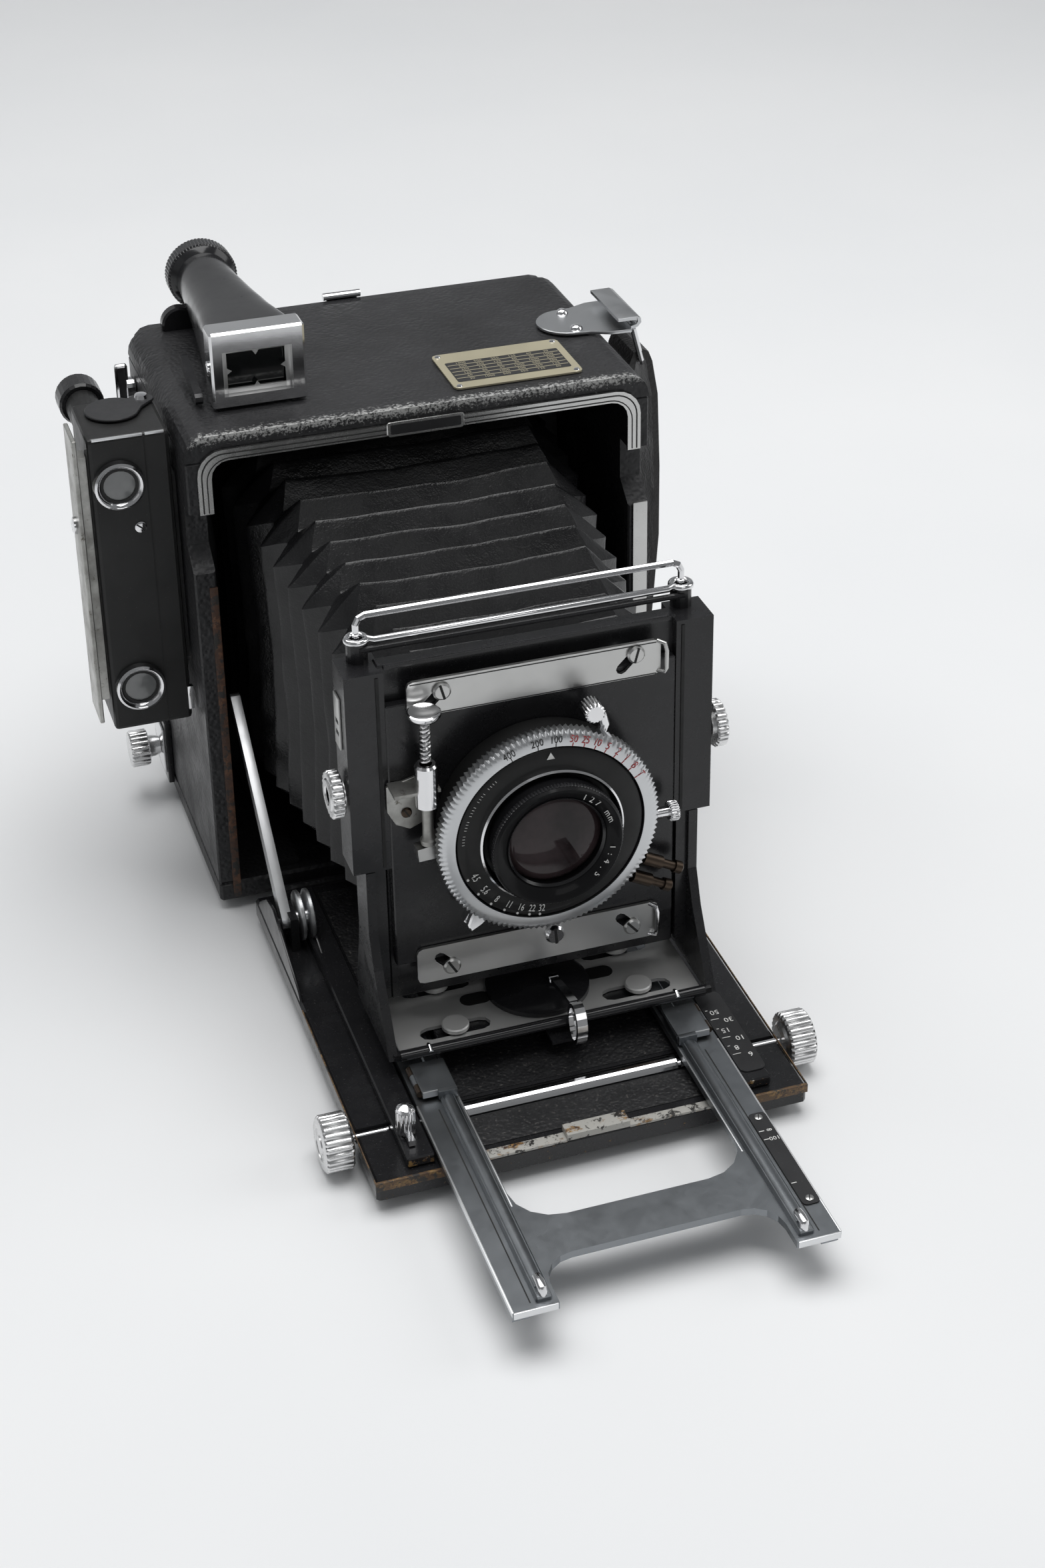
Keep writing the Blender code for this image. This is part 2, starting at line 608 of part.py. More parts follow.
def make_clips():
    slots = [capsule((x, z), (x - 4.6, z - 4.6), 1.8, 4) for x, z in ((-28.6, 143.2), (34.1, 143.9))]
    outline = rounded((-39.5, 42.5), (135.4, 147.6), 2, 2)
    looks(plate("clip_top", "XZ", outline, (-162.1, -160.9), slots), "brushed steel")
    slots = [capsule((x, z), (x - 3.8, z + 3.8), 1.8, 4) for x, z in ((-28.2, 41.2), (33.3, 41.9))]
    outline = rounded((-39.5, 42.5), (36.2, 49.4), 2, 2)
    looks(plate("clip_bottom", "XZ", outline, (-162.1, -160.9), slots), "brushed steel")


def make_lens():
    board = block("lens_board", (-45.9, 48.1), (-160.6, -157), (43.9, 139.7), 0.4)
    cut(board, rod("board_hole", "Y", LENS, (-170, -150), 20, 28))
    looks(board, "black enamel")
    profile = [(-161, 0), (-161, 32.8), (-170.6, 32.8), (-170.6, 30.4), (-176.4, 30.4), (-176.4, 22)]
    profile += [(-174, 22), (-174, 0)]
    looks(turned("shutter_body", "Y", LENS, profile, 32), "black enamel")
    barrel = [(-174.3, 0), (-174.3, 21.5), (-182.4, 21.5), (-182.4, 17), (-178, 15.3), (-178, 0)]
    looks(turned("lens_barrel", "Y", LENS, barrel, 32), "black enamel")

    teeth = [(LENS[0] + r * math.cos(a), LENS[1] + r * math.sin(a)) for a, r in zigzag(36, 36.2, 35.4)]
    bore = circle(LENS, 30.9, 32)
    ring = plate("speed_ring", "XZ", teeth, (-175.6, -171), [bore])
    looks(pivot(ring, LENS[0], -173, LENS[1]), "satin chrome")

    for name, bearing, reach, width in (
        ("cocking_lever", 67.3, 42.5, 4.5),
        ("aperture_lever", 231.7, 41.5, 3.6),
    ):
        arm = lever_outline(bearing, reach, width)
        lever = plate(name, "XZ", arm, (-169.4, -166))
        looks(pivot(lever, LENS[0], -168, LENS[1]), "chrome")
    arm = lever_outline(185.0, 41.2, 4.4)
    lever = plate("release_lever", "XZ", arm, (-169.4, -165))
    looks(pivot(lever, LENS[0], -167, LENS[1]), "satin chrome")
    body = [(141, 0), (141, 5.2), (139.4, 5.2), (137, 1.5), (93.4, 1.5), (93.4, 0)]
    looks(turned("plunger", "Z", PLUNGER, body, 16), "chrome")


def zigzag(teeth, high, low):
    step = 2 * math.pi / teeth
    return [(i * step / 2, high if i % 2 else low) for i in range(2 * teeth)]


def lever_outline(bearing, reach, width):
    """A finger on a short arc that runs round the shutter's rim."""
    inner, rim = 33.3, 35.2
    half = 9
    points = arc(LENS, inner, bearing + half, bearing - half, 5)
    points += arc(LENS, rim, bearing - half, bearing - 4, 2)
    across = math.degrees(width / 2 / reach)
    points += arc(LENS, reach, bearing - across, bearing + across, 2)
    points += arc(LENS, rim, bearing + 4, bearing + half, 2)
    return points


def fold_ring(y, half_width, low, high, chamfer):
    """Eight corners of a bellows section at one depth."""
    x0 = STANDARD_X * (27 - y) / 180
    flat = half_width - chamfer
    rows = [
        (x0 + half_width, low + chamfer),
        (x0 + half_width, high - chamfer),
        (x0 + flat, high),
        (x0 - flat, high),
        (x0 - half_width, high - chamfer),
        (x0 - half_width, low + chamfer),
        (x0 - flat, low),
        (x0 + flat, low),
    ]
    return [(x * MM, y * MM, z * MM) for x, z in rows]


def make_bellows():
    """A pleated tube, open at both ends, from the rear frame to the lens panel."""
    folds = 13
    rear, front = 27.0, -146.2
    wall = 1.6
    sections = []
    for i in range(2 * folds + 1):
        share = i / (2 * folds)
        y = rear + (front - rear) * share
        half_width = 57 - 9.4 * share
        low = 27 + 5 * share
        high = 159 - 9 * share
        depth = 0 if i % 2 == 0 else 5.5
        sections.append((y, half_width - depth, low + depth, high - depth, 12 - depth / 2))
    outside = [fold_ring(*section) for section in sections]
    inside = [fold_ring(y, w - wall, a + wall, b - wall, c) for y, w, a, b, c in sections]
    shape = bmesh.new()
    rings = [[shape.verts.new(point) for point in ring] for ring in outside + inside[::-1]]
    for ring, after in zip(rings, rings[1:] + rings[:1]):
        for i in range(8):
            j = (i + 1) % 8
            shape.faces.new((ring[i], ring[j], after[j], after[i]))
    bmesh.ops.recalc_face_normals(shape, faces=shape.faces)
    data = bpy.data.meshes.new("bellows")
    shape.to_mesh(data)
    shape.free()
    looks(add_object("bellows", data), "black leather")


make_body()
make_inside()
make_back()
make_finder()
make_strap()
make_rangefinder()
make_bed()
make_track()
make_carriage()
make_standard()
make_clips()
make_lens()
make_bellows()
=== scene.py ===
"""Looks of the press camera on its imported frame. Lengths are millimetres until a shape is made."""

import math

import bmesh
import bpy
from mathutils import Matrix, Vector, noise


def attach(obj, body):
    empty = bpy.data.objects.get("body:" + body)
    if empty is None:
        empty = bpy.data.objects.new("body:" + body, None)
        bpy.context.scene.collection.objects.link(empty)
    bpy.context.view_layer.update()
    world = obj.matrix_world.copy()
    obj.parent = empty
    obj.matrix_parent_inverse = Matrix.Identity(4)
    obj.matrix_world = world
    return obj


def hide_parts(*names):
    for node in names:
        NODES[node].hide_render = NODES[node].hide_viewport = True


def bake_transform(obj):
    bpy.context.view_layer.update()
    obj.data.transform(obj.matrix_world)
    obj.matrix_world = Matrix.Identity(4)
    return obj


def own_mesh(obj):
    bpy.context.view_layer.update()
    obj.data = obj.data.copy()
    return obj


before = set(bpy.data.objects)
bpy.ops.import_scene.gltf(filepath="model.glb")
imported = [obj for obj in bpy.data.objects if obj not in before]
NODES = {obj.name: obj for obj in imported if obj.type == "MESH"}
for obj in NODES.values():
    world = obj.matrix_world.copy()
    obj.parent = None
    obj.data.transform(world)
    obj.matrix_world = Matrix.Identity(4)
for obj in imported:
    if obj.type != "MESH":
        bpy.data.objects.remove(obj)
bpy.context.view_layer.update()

MM = 0.001
CREASE = math.radians(35.0)
# thickness of printed figures
INK = 0.02

# places that several pieces share; X0 is the middle of the front standard
X0 = 1.3
LENS = (X0, 93.7)
LENS_AXIS = (LENS[0], 0, LENS[1])
RISE_AXIS = (0, -155, 109)
FOCUS_AXIS = (0, -196.5, 9.6)
FINDER_AXIS = (-50.8, 0, 199.6)
TENSION_AXIS = (0, 38, 20.4)
LOCK_POST = (-57, -206, 0)
PLUNGER_AXIS = (-36.0, -168.2, 0)
STRUT_PIVOT = (-91, 20.5)
STRUT_LEAN = math.radians(41.0)


# ---------------------------------------------------------------- materials


class Graph:
    """A small helper to wire shader nodes."""

    def __init__(self, name):
        self.material = bpy.data.materials.new(name.replace(" ", "_"))
        self.material.use_nodes = True
        self.tree = self.material.node_tree
        self.shader = self.tree.nodes["Principled BSDF"]
        self.place = self.add("ShaderNodeTexCoord").outputs["Object"]

    def add(self, kind, **values):
        node = self.tree.nodes.new(kind)
        for key, value in values.items():
            setattr(node, key, value)
        return node

    def link(self, source, target):
        self.tree.links.new(source, target)

    def put(self, target, value):
        if isinstance(value, bpy.types.NodeSocket):
            self.link(value, target)
        else:
            target.default_value = value

    def noise(self, scale, detail=3.0, rough=0.55, stretch=None, offset=0.0):
        place = self.place
        if stretch or offset:
            mapping = self.add("ShaderNodeMapping")
            self.link(place, mapping.inputs["Vector"])
            mapping.inputs["Scale"].default_value = stretch or (1, 1, 1)
            mapping.inputs["Location"].default_value = (offset, offset, offset)
            place = mapping.outputs["Vector"]
        node = self.add("ShaderNodeTexNoise")
        self.link(place, node.inputs["Vector"])
        node.inputs["Scale"].default_value = scale
        node.inputs["Detail"].default_value = detail
        node.inputs["Roughness"].default_value = rough
        return node.outputs["Fac"]

    def cells(self, scale):
        node = self.add("ShaderNodeTexVoronoi", feature="SMOOTH_F1")
        self.link(self.place, node.inputs["Vector"])
        node.inputs["Scale"].default_value = scale
        node.inputs["Randomness"].default_value = 1.0
        return node.outputs["Distance"]

    def ramp(self, fac, low, high, dark=0.0, light=1.0):
        node = self.add("ShaderNodeMapRange")
        self.link(fac, node.inputs["Value"])
        for key, value in (("From Min", low), ("From Max", high), ("To Min", dark), ("To Max", light)):
            node.inputs[key].default_value = value
        return node.outputs["Result"]

    def math(self, operation, a, b):
        node = self.add("ShaderNodeMath", operation=operation)
        self.put(node.inputs[0], a)
        self.put(node.inputs[1], b)
        return node.outputs[0]

    def mix(self, fac, a, b):
        node = self.add("ShaderNodeMix", data_type="RGBA")
        self.put(node.inputs["Factor"], fac)
        self.put(node.inputs[6], a)
        self.put(node.inputs[7], b)
        return node.outputs[2]

    def axis(self, index):
        node = self.add("ShaderNodeSeparateXYZ")
        self.link(self.place, node.inputs[0])
        return node.outputs[index]

    def bump(self, height, strength, distance, after=None):
        node = self.add("ShaderNodeBump")
        node.inputs["Strength"].default_value = strength
        node.inputs["Distance"].default_value = distance
        self.link(height, node.inputs["Height"])
        if after is not None:
            self.link(after, node.inputs["Normal"])
        return node.outputs["Normal"]

    def finish(self, color, metallic, rough, normal=None, coat=None, level=None):
        inputs = self.shader.inputs
        self.put(inputs["Base Color"], color)
        self.put(inputs["Metallic"], metallic)
        self.put(inputs["Roughness"], rough)
        if normal is not None:
            self.link(normal, inputs["Normal"])
        if coat is not None:
            inputs["Coat Weight"].default_value = coat
            inputs["Coat Roughness"].default_value = 0.1
        if level is not None:
            inputs["Specular IOR Level"].default_value = level
        return self.material


def rgb(r, g, b):
    return (r, g, b, 1.0)


def shade(base, factor, lift=0.0):
    return rgb(*[c * factor + lift for c in base])


def leather(name, base, grain, strength, rough, painted_sheen=False, wrinkles=0.0, shine=0.34):
    """Pebbled leather; a flag paints grey highlight specks on the grain along the front edge of the body's
    top.
    """
    g = Graph(name)
    pebble = g.cells(grain)
    fine = g.noise(grain * 2.2, 2)
    height = g.math("ADD", g.ramp(pebble, 0.0, 0.6), g.math("MULTIPLY", fine, 0.25))
    broad = g.noise(24, 4, 0.6)
    tone = g.mix(g.ramp(broad, 0.3, 0.75), rgb(*base), shade(base, 1.9, 0.004))
    normal = g.bump(height, strength, 0.00035)
    if wrinkles:
        crease = g.noise(130, 5, 0.7, stretch=(1, 1.6, 1))
        normal = g.bump(crease, wrinkles, 0.0012, normal)
    if painted_sheen:
        # painted highlight: grey specks on the pebble grain along the rounded front edge of the top stand in
        # for the light's sheen there
        y, z = g.axis(1), g.axis(2)
        front = g.ramp(y, -0.0385, -0.049)
        top = g.ramp(z, 0.178, 0.1845)
        speck = g.noise(900, 4, 0.75)
        patch = g.noise(60, 3, 0.6, offset=3.0)
        edge = g.math("MULTIPLY", front, top)
        level = g.math("ADD", g.math("MULTIPLY", edge, 0.42), g.math("MULTIPLY", patch, 0.22))
        amount = g.ramp(g.math("ADD", speck, level), 0.93, 1.05)
        amount = g.math("MULTIPLY", amount, edge)
        tone = g.mix(amount, tone, rgb(0.44, 0.44, 0.43))
    roughness = g.ramp(g.noise(70, 3), 0.3, 0.7, rough - 0.08, rough + 0.12)
    return g.finish(tone, 0.0, roughness, normal, level=shine)


def enamel(name, base=(0.011, 0.011, 0.012), rough=0.2, rust=None, scuffs=0.35, chipped=0.4, gloss=0.36):
    """Black stoving enamel. `rust` is (axis, from, to) in metres for a chipped edge."""
    g = Graph(name)
    scuff = g.noise(90, 6, 0.75)
    dust = g.ramp(g.noise(1400, 2), 0.66, 0.74, 0.0, scuffs)
    tone = g.mix(g.ramp(g.noise(18, 3), 0.35, 0.7), rgb(*base), shade(base, 1.7))
    tone = g.mix(dust, tone, rgb(0.10, 0.10, 0.10))
    roughness = g.ramp(scuff, 0.35, 0.75, rough, rough + 0.22)
    normal = g.bump(g.noise(260, 2), 0.06, 0.0003)
    if rust:
        index, start, end = rust
        near = g.ramp(g.axis(index), start, end)
        rag = g.noise(300, 7, 0.72)
        chip = g.ramp(g.math("ADD", rag, g.math("MULTIPLY", near, chipped)), 0.92, 0.97)
        chip = g.math("MULTIPLY", chip, g.ramp(near, 0.02, 0.1))
        flakes = g.noise(520, 4, 0.7, offset=5.0)
        under = g.mix(g.ramp(flakes, 0.42, 0.56), rgb(0.07, 0.028, 0.010), rgb(0.27, 0.16, 0.055))
        under = g.mix(g.ramp(g.noise(700, 3, 0.6, offset=9.0), 0.6, 0.66), under, rgb(0.6, 0.57, 0.5))
        tone = g.mix(chip, tone, under)
        roughness = g.mix(chip, roughness, rgb(0.6, 0.6, 0.6))
        normal = g.bump(chip, 0.4, 0.0004, normal)
    return g.finish(tone, 0.0, roughness, normal, coat=0.12, level=gloss)


def metal(name, base, rough, brushed=None, tarnish=0.25, strength=0.08, pits=0.0, metallic=1.0):
    """Plated or bare metal; `brushed` is the stretch of the brush lines."""
    g = Graph(name)
    broad = g.noise(30, 4, 0.6)
    tone = g.mix(g.ramp(broad, 0.3, 0.8), rgb(*base), shade(base, 1 - tarnish))
    if pits:
        spots = g.ramp(g.noise(330, 6, 0.7, offset=2.0), 0.62, 0.7, 0.0, pits)
        tone = g.mix(spots, tone, shade(base, 0.25))
    roughness = g.ramp(g.noise(160, 5, 0.65, offset=1.0), 0.3, 0.75, rough * 0.92, rough * 1.15)
    if brushed:
        normal = g.bump(g.noise(60, 6, 0.75, stretch=brushed), strength, 0.0002)
    else:
        normal = g.bump(g.noise(600, 2), strength * 0.4, 0.00008)
    return g.finish(tone, metallic, roughness, normal)


def flaked(name, bare, chips, rusted=(0.33, 0.19, 0.06)):
    """A bare, flaking metal edge; `chips` is the dark or rusty share from 0 to 1."""
    g = Graph(name)
    rag = g.noise(190, 7, 0.7, stretch=(0.6, 1, 1))
    fine = g.noise(620, 4, 0.7, offset=4.0)
    rust = g.mix(g.ramp(fine, 0.42, 0.58), rgb(0.05, 0.022, 0.012), rgb(*rusted))
    tone = g.mix(g.ramp(rag, 0.36 + 0.2 * chips, 0.42 + 0.2 * chips), rust, rgb(*bare))
    dark = g.ramp(g.noise(260, 6, 0.75, offset=8.0), 0.56 - 0.1 * chips, 0.6 - 0.1 * chips)
    tone = g.mix(dark, tone, rgb(0.02, 0.018, 0.016))
    return g.finish(tone, 0.0, 0.5, g.bump(fine, 0.5, 0.0003))


def paint(name, base, rough=0.45):
    g = Graph(name)
    tone = g.mix(g.ramp(g.noise(500, 3), 0.3, 0.7), rgb(*base), shade(base, 0.8))
    return g.finish(tone, 0.0, g.ramp(g.noise(200, 2), 0.2, 0.8, rough, rough + 0.15))


def glassy(name, base, rough, coat=1.0, level=0.5, depth=1.5):
    g = Graph(name)
    smear = g.noise(45, 4, 0.6)
    tone = g.mix(g.ramp(smear, 0.35, 0.7), rgb(*base), shade(base, depth))
    return g.finish(tone, 0.0, g.ramp(smear, 0.3, 0.8, rough, rough + 0.06), coat=coat, level=level)


def crackle(name):
    g = Graph(name)
    grain = g.cells(900)
    tone = g.mix(g.ramp(g.noise(700, 3), 0.6, 0.75), rgb(0.012, 0.012, 0.013), rgb(0.09, 0.085, 0.08))
    return g.finish(tone, 0.0, g.ramp(g.noise(80, 3), 0.3, 0.7, 0.38, 0.6), g.bump(grain, 0.7, 0.0004))


def galvanised(name):
    g = Graph(name)
    blotch = g.noise(55, 5, 0.7)
    tone = g.mix(g.ramp(blotch, 0.3, 0.72), rgb(0.52, 0.52, 0.5), rgb(0.22, 0.215, 0.2))
    spots = g.ramp(g.noise(240, 5, 0.7, offset=4.0), 0.6, 0.7)
    tone = g.mix(spots, tone, rgb(0.12, 0.11, 0.09))
    return g.finish(tone, 0.85, g.ramp(blotch, 0.3, 0.7, 0.3, 0.55), g.bump(blotch, 0.2, 0.0004))


M = {
    "leather": leather("leather", (0.014, 0.014, 0.015), 640, 0.6, 0.43, painted_sheen=True),
    "bellows": leather(
        "bellows leather", (0.0045, 0.0045, 0.005), 1500, 0.12, 0.3, wrinkles=0.25, shine=0.42
    ),
    "strap": leather("strap leather", (0.016, 0.015, 0.015), 1100, 0.35, 0.38, wrinkles=0.3),
    "enamel": enamel("enamel"),
    "gloss": enamel("gloss enamel", rough=0.1, scuffs=0.15),
    "satin black": enamel("satin black", (0.014, 0.014, 0.015), 0.34),
    "bed": enamel("bed enamel", rough=0.16, rust=(1, -0.2190, -0.2216), chipped=0.3),
    "guide": enamel("guide enamel", rough=0.12, rust=(1, -0.2165, -0.2182), chipped=0.45),
    "housing": enamel("rangefinder black", (0.009, 0.009, 0.009), 0.4, scuffs=0.3, gloss=0.3),
    "crackle": crackle("crackle black"),
    "chrome": metal("chrome", (0.80, 0.80, 0.81), 0.1, tarnish=0.12),
    "knob": metal("knob chrome", (0.78, 0.78, 0.78), 0.27, tarnish=0.08),
    "trim": metal("satin chrome trim", (0.58, 0.58, 0.57), 0.26, (1, 1, 30), 0.15, 0.08),
    "ring": metal("ring chrome", (0.58, 0.59, 0.60), 0.3, tarnish=0.06),
    "clip": metal("clip steel", (0.54, 0.54, 0.53), 0.3, (2, 1, 40), 0.12, 0.1),
    "steel": metal("brushed base steel", (0.66, 0.66, 0.65), 0.46, (3, 60, 1), 0.1, 0.25, metallic=0.6),
    "track": metal("track steel", (0.26, 0.275, 0.29), 0.33, (60, 1.5, 1), 0.08, 0.12),
    "side": galvanised("galvanised steel"),
    "brass": metal("worn brass plate", (0.58, 0.53, 0.38), 0.4, (30, 1, 1), 0.15, 0.1, metallic=0.6),
    "post": metal("terminal brass", (0.09, 0.068, 0.052), 0.4, tarnish=0.4, pits=0.6),
    "cloth": paint("shutter cloth", (0.012, 0.012, 0.012), 0.85),
    "white": paint("white paint", (0.78, 0.78, 0.76)),
    "black ink": paint("black ink", (0.01, 0.01, 0.01)),
    "red": paint("red paint", (0.42, 0.03, 0.03)),
    "lens glass": glassy("lens glass", (0.013, 0.009, 0.0095), 0.02, coat=0.0, level=0.3, depth=4.0),
    "window": glassy("window glass", (0.13, 0.135, 0.135), 0.05),
    "finder glass": glassy("finder glass", (0.006, 0.007, 0.007), 0.03),
    "screen": glassy("ground glass", (0.42, 0.44, 0.44), 0.4, coat=0.2),
    "face": enamel("shutter face black", (0.010, 0.010, 0.010), 0.45, scuffs=0.05, gloss=0.22),
    "deep": enamel("deep black", (0.0035, 0.0035, 0.004), 0.42, scuffs=0.05, gloss=0.12),
    # dark paint: over screw slots, holes and slots it stands in for the shade inside them; it also darkens
    # grooves and the housing seam
    "slot": paint("slot dark", (0.008, 0.008, 0.008), 0.6),
    "lip": flaked("flaking lip", (0.42, 0.41, 0.38), 0.25),
    "rusty": flaked("rusty edge", (0.10, 0.055, 0.022), 0.5, (0.24, 0.14, 0.045)),
    "rust line": flaked("rust line", (0.06, 0.028, 0.016), 0.5, (0.13, 0.058, 0.028)),
    # bright metal: real on the strut spools and flats; the rail edge strips and the stop's front strip use
    # it as painted highlights
    "bright": metal("bright edge", (0.78, 0.79, 0.80), 0.36, tarnish=0.1),
}


# ------------------------------------------------------------------- shapes


def turns(steps):
    """Angles of `steps` equal parts of a full turn."""
    return [2 * math.pi * i / steps for i in range(steps)]


def smooth(data):
    for polygon in data.polygons:
        polygon.use_smooth = True
    shape = bmesh.new()
    shape.from_mesh(data)
    for edge in shape.edges:
        if len(edge.link_faces) == 2 and edge.calc_face_angle(0) > CREASE:
            edge.smooth = False
    shape.to_mesh(data)
    shape.free()


def show(name, data, material, body):
    """Puts a mesh in the scene with its material, on the body it rides."""
    data.materials.append(M[material])
    thing = bpy.data.objects.new(name, data)
    bpy.context.scene.collection.objects.link(thing)
    if body:
        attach(thing, body)
    return thing


def piece(name, shape, material, body):
    data = bpy.data.meshes.new(name)
    bmesh.ops.recalc_face_normals(shape, faces=shape.faces)
    shape.to_mesh(data)
    shape.free()
    smooth(data)
    return show(name, data, material, body)


def block(name, x, y, z, material, body, edge=0.25):
    shape = bmesh.new()
    bmesh.ops.create_cube(shape, size=1.0)
    for vertex in shape.verts:
        for axis, (low, high) in enumerate((x, y, z)):
            vertex.co[axis] = ((low + high) / 2 + vertex.co[axis] * (high - low)) * MM
    if edge:
        bmesh.ops.bevel(
            shape, geom=shape.edges[:], offset=edge * MM, segments=2, profile=0.7, affect="EDGES"
        )
    return piece(name, shape, material, body)


def chip(name, size, place, material, body, lift=0.0):
    """A small plain box lying on `place`, raised by `lift`."""
    shape = bmesh.new()
    bmesh.ops.create_cube(shape, size=1.0)
    for vertex in shape.verts:
        vertex.co = Vector([c * length for c, length in zip(vertex.co, size)]) + Vector((0, 0, lift))
        vertex.co *= MM
    shape.transform(place)
    return piece(name, shape, material, body)


def triangle(name, corners, place, material, body):
    shape = bmesh.new()
    shape.faces.new([shape.verts.new(Vector((*corner, 0)) * MM) for corner in corners])
    shape.transform(place)
    return piece(name, shape, material, body)


def axis_turn(axis):
    if axis == "X":
        return Matrix.Rotation(math.radians(90), 4, "Y")
    if axis == "Y":
        return Matrix.Rotation(math.radians(-90), 4, "X")
    return Matrix.Identity(4)


def axis_place(axis, at):
    """A matrix whose Z runs along `axis` from a point in millimetres."""
    return Matrix.Translation(Vector(at) * MM) @ axis_turn(axis)


def round_ring(shape, place, along, reaches):
    """Points around the Z of `place`, each as far out as its reach."""
    points = []
    for reach, angle in zip(reaches, turns(len(reaches))):
        point = Vector((reach * math.cos(angle), reach * math.sin(angle), along)) * MM
        points.append(shape.verts.new(place @ point))
    return points


def bridge(shape, rings, closed=False):
    """Side faces from each ring to the next; a ring of one point is a tip."""
    for a, b in zip(rings, rings[1:] + rings[:1] if closed else rings[1:]):
        count = max(len(a), len(b))
        if count == 1:
            continue
        for i in range(count):
            j = (i + 1) % count
            corners = (a[i % len(a)], a[j % len(a)], b[j % len(b)], b[i % len(b)])
            shape.faces.new(list(dict.fromkeys(corners)))


def revolve(shape, axis, at, profile, steps=48, closed=False):
    """Adds a body of revolution; `at` is a point on its axis, the profile (along, radius)."""
    place = axis_place(axis, at)
    rings = []
    for along, radius in profile:
        rings.append(round_ring(shape, place, along, [radius] * (steps if radius else 1)))
    bridge(shape, rings, closed)


def turned(name, axis, at, profile, material, body, steps=48, closed=False):
    shape = bmesh.new()
    revolve(shape, axis, at, profile, steps, closed)
    return piece(name, shape, material, body)


def fluted(name, axis, at, span, radius, depth, count, material, body, edge=0.5, hole=0.0):
    """A knob rim with rounded flutes between its two faces, with a hole through it if one is given."""
    shape = bmesh.new()
    place = axis_place(axis, at)
    low, high = span
    steps = count * 6
    waves = [depth * (1 - abs(math.sin(angle * count / 2)) ** 0.7) for angle in turns(steps)]
    rings = []
    for along, shrink in ((low, edge), (low + edge, 0), (high - edge, 0), (high, edge)):
        rings.append(round_ring(shape, place, along, [radius - wave - shrink for wave in waves]))
    if hole:
        rings += [round_ring(shape, place, along, [hole] * steps) for along in (high, low)]
    else:
        shape.faces.new(rings[0])
        shape.faces.new(rings[-1])
    bridge(shape, rings, bool(hole))
    return piece(name, shape, material, body)


def wire(name, points, radius, material, body, sides=12, closed=False):
    """A round wire through points, with a frame carried along the path."""
    shape = bmesh.new()
    spots = [Vector(p) * MM for p in points]
    count = len(spots)
    rings = []
    normal = None
    for i, spot in enumerate(spots):
        before = spots[i - 1] if (i or closed) else spot
        after = spots[(i + 1) % count] if (i < count - 1 or closed) else spot
        along = (after - before).normalized()
        if normal is None:
            normal = along.orthogonal().normalized()
        normal = (normal - along * normal.dot(along)).normalized()
        across = along.cross(normal)
        ring = []
        for angle in turns(sides):
            offset = (normal * math.cos(angle) + across * math.sin(angle)) * radius * MM
            ring.append(shape.verts.new(spot + offset))
        rings.append(ring)
    bridge(shape, rings, closed)
    if not closed:
        shape.faces.new(rings[0])
        shape.faces.new(rings[-1])
    return piece(name, shape, material, body)


def arc(centre, radius, start, end, steps):
    points = []
    for i in range(steps + 1):
        angle = math.radians(start + (end - start) * i / steps)
        points.append((centre[0] + radius * math.cos(angle), centre[1] + radius * math.sin(angle)))
    return points


def rounded(u, v, radius, steps=4):
    """Outline of a rectangle with round corners."""
    (a, b), (c, d) = u, v
    points = arc((b - radius, d - radius), radius, 0, 90, steps)
    points += arc((a + radius, d - radius), radius, 90, 180, steps)
    points += arc((a + radius, c + radius), radius, 180, 270, steps)
    return points + arc((b - radius, c + radius), radius, 270, 360, steps)


PLANES = {
    "XY": lambda u, v, w: (u, v, w),
    "XZ": lambda u, v, w: (u, w, v),
    "YZ": lambda u, v, w: (w, u, v),
}


def slab(name, plane, outline, span, material, body, edge=0.15):
    """A flat prism from an outline, its two rims cut back a little."""
    shape = bmesh.new()
    place = PLANES[plane]
    middle_u = sum(u for u, v in outline) / len(outline)
    middle_v = sum(v for u, v in outline) / len(outline)
    low, high = span
    rings = []
    for w, inset in ((low, edge), (low + edge, 0), (high - edge, 0), (high, edge)):
        ring = []
        for u, v in outline:
            du, dv = u - middle_u, v - middle_v
            shrink = 1 - inset / (math.hypot(du, dv) or 1)
            point = place(middle_u + du * shrink, middle_v + dv * shrink, w)
            ring.append(shape.verts.new(Vector(point) * MM))
        rings.append(ring)
    bridge(shape, rings)
    for ring in (rings[0], rings[-1]):
        face = shape.faces.new(ring)
        bmesh.ops.triangulate(shape, faces=[face])
    return piece(name, shape, material, body)


def label(name, text, size, place, material, body, narrow=1.0):
    """Printed or engraved figures as thin shapes; `place` carries XY onto the surface."""
    curve = bpy.data.curves.new(name, "FONT")
    curve.body = text
    curve.size = size * MM
    curve.extrude = INK * MM
    curve.align_x = "CENTER"
    curve.align_y = "CENTER"
    curve.resolution_u = 2
    thing = bpy.data.objects.new(name + "_text", curve)
    bpy.context.scene.collection.objects.link(thing)
    bpy.context.view_layer.update()
    graph = bpy.context.evaluated_depsgraph_get()
    data = bpy.data.meshes.new_from_object(thing.evaluated_get(graph))
    bpy.data.objects.remove(thing, do_unlink=True)
    data.name = name
    data.transform(place @ Matrix.Scale(narrow, 4, (1, 0, 0)))
    data.materials.clear()
    return show(name, data, material, body)


def facing(at, right, up):
    """A matrix whose X and Y run along `right` and `up` at a point in millimetres."""
    x, y = Vector(right).normalized(), Vector(up).normalized()
    turn = Matrix((x, y, x.cross(y))).transposed().to_4x4()
    return Matrix.Translation(Vector(at) * MM) @ turn


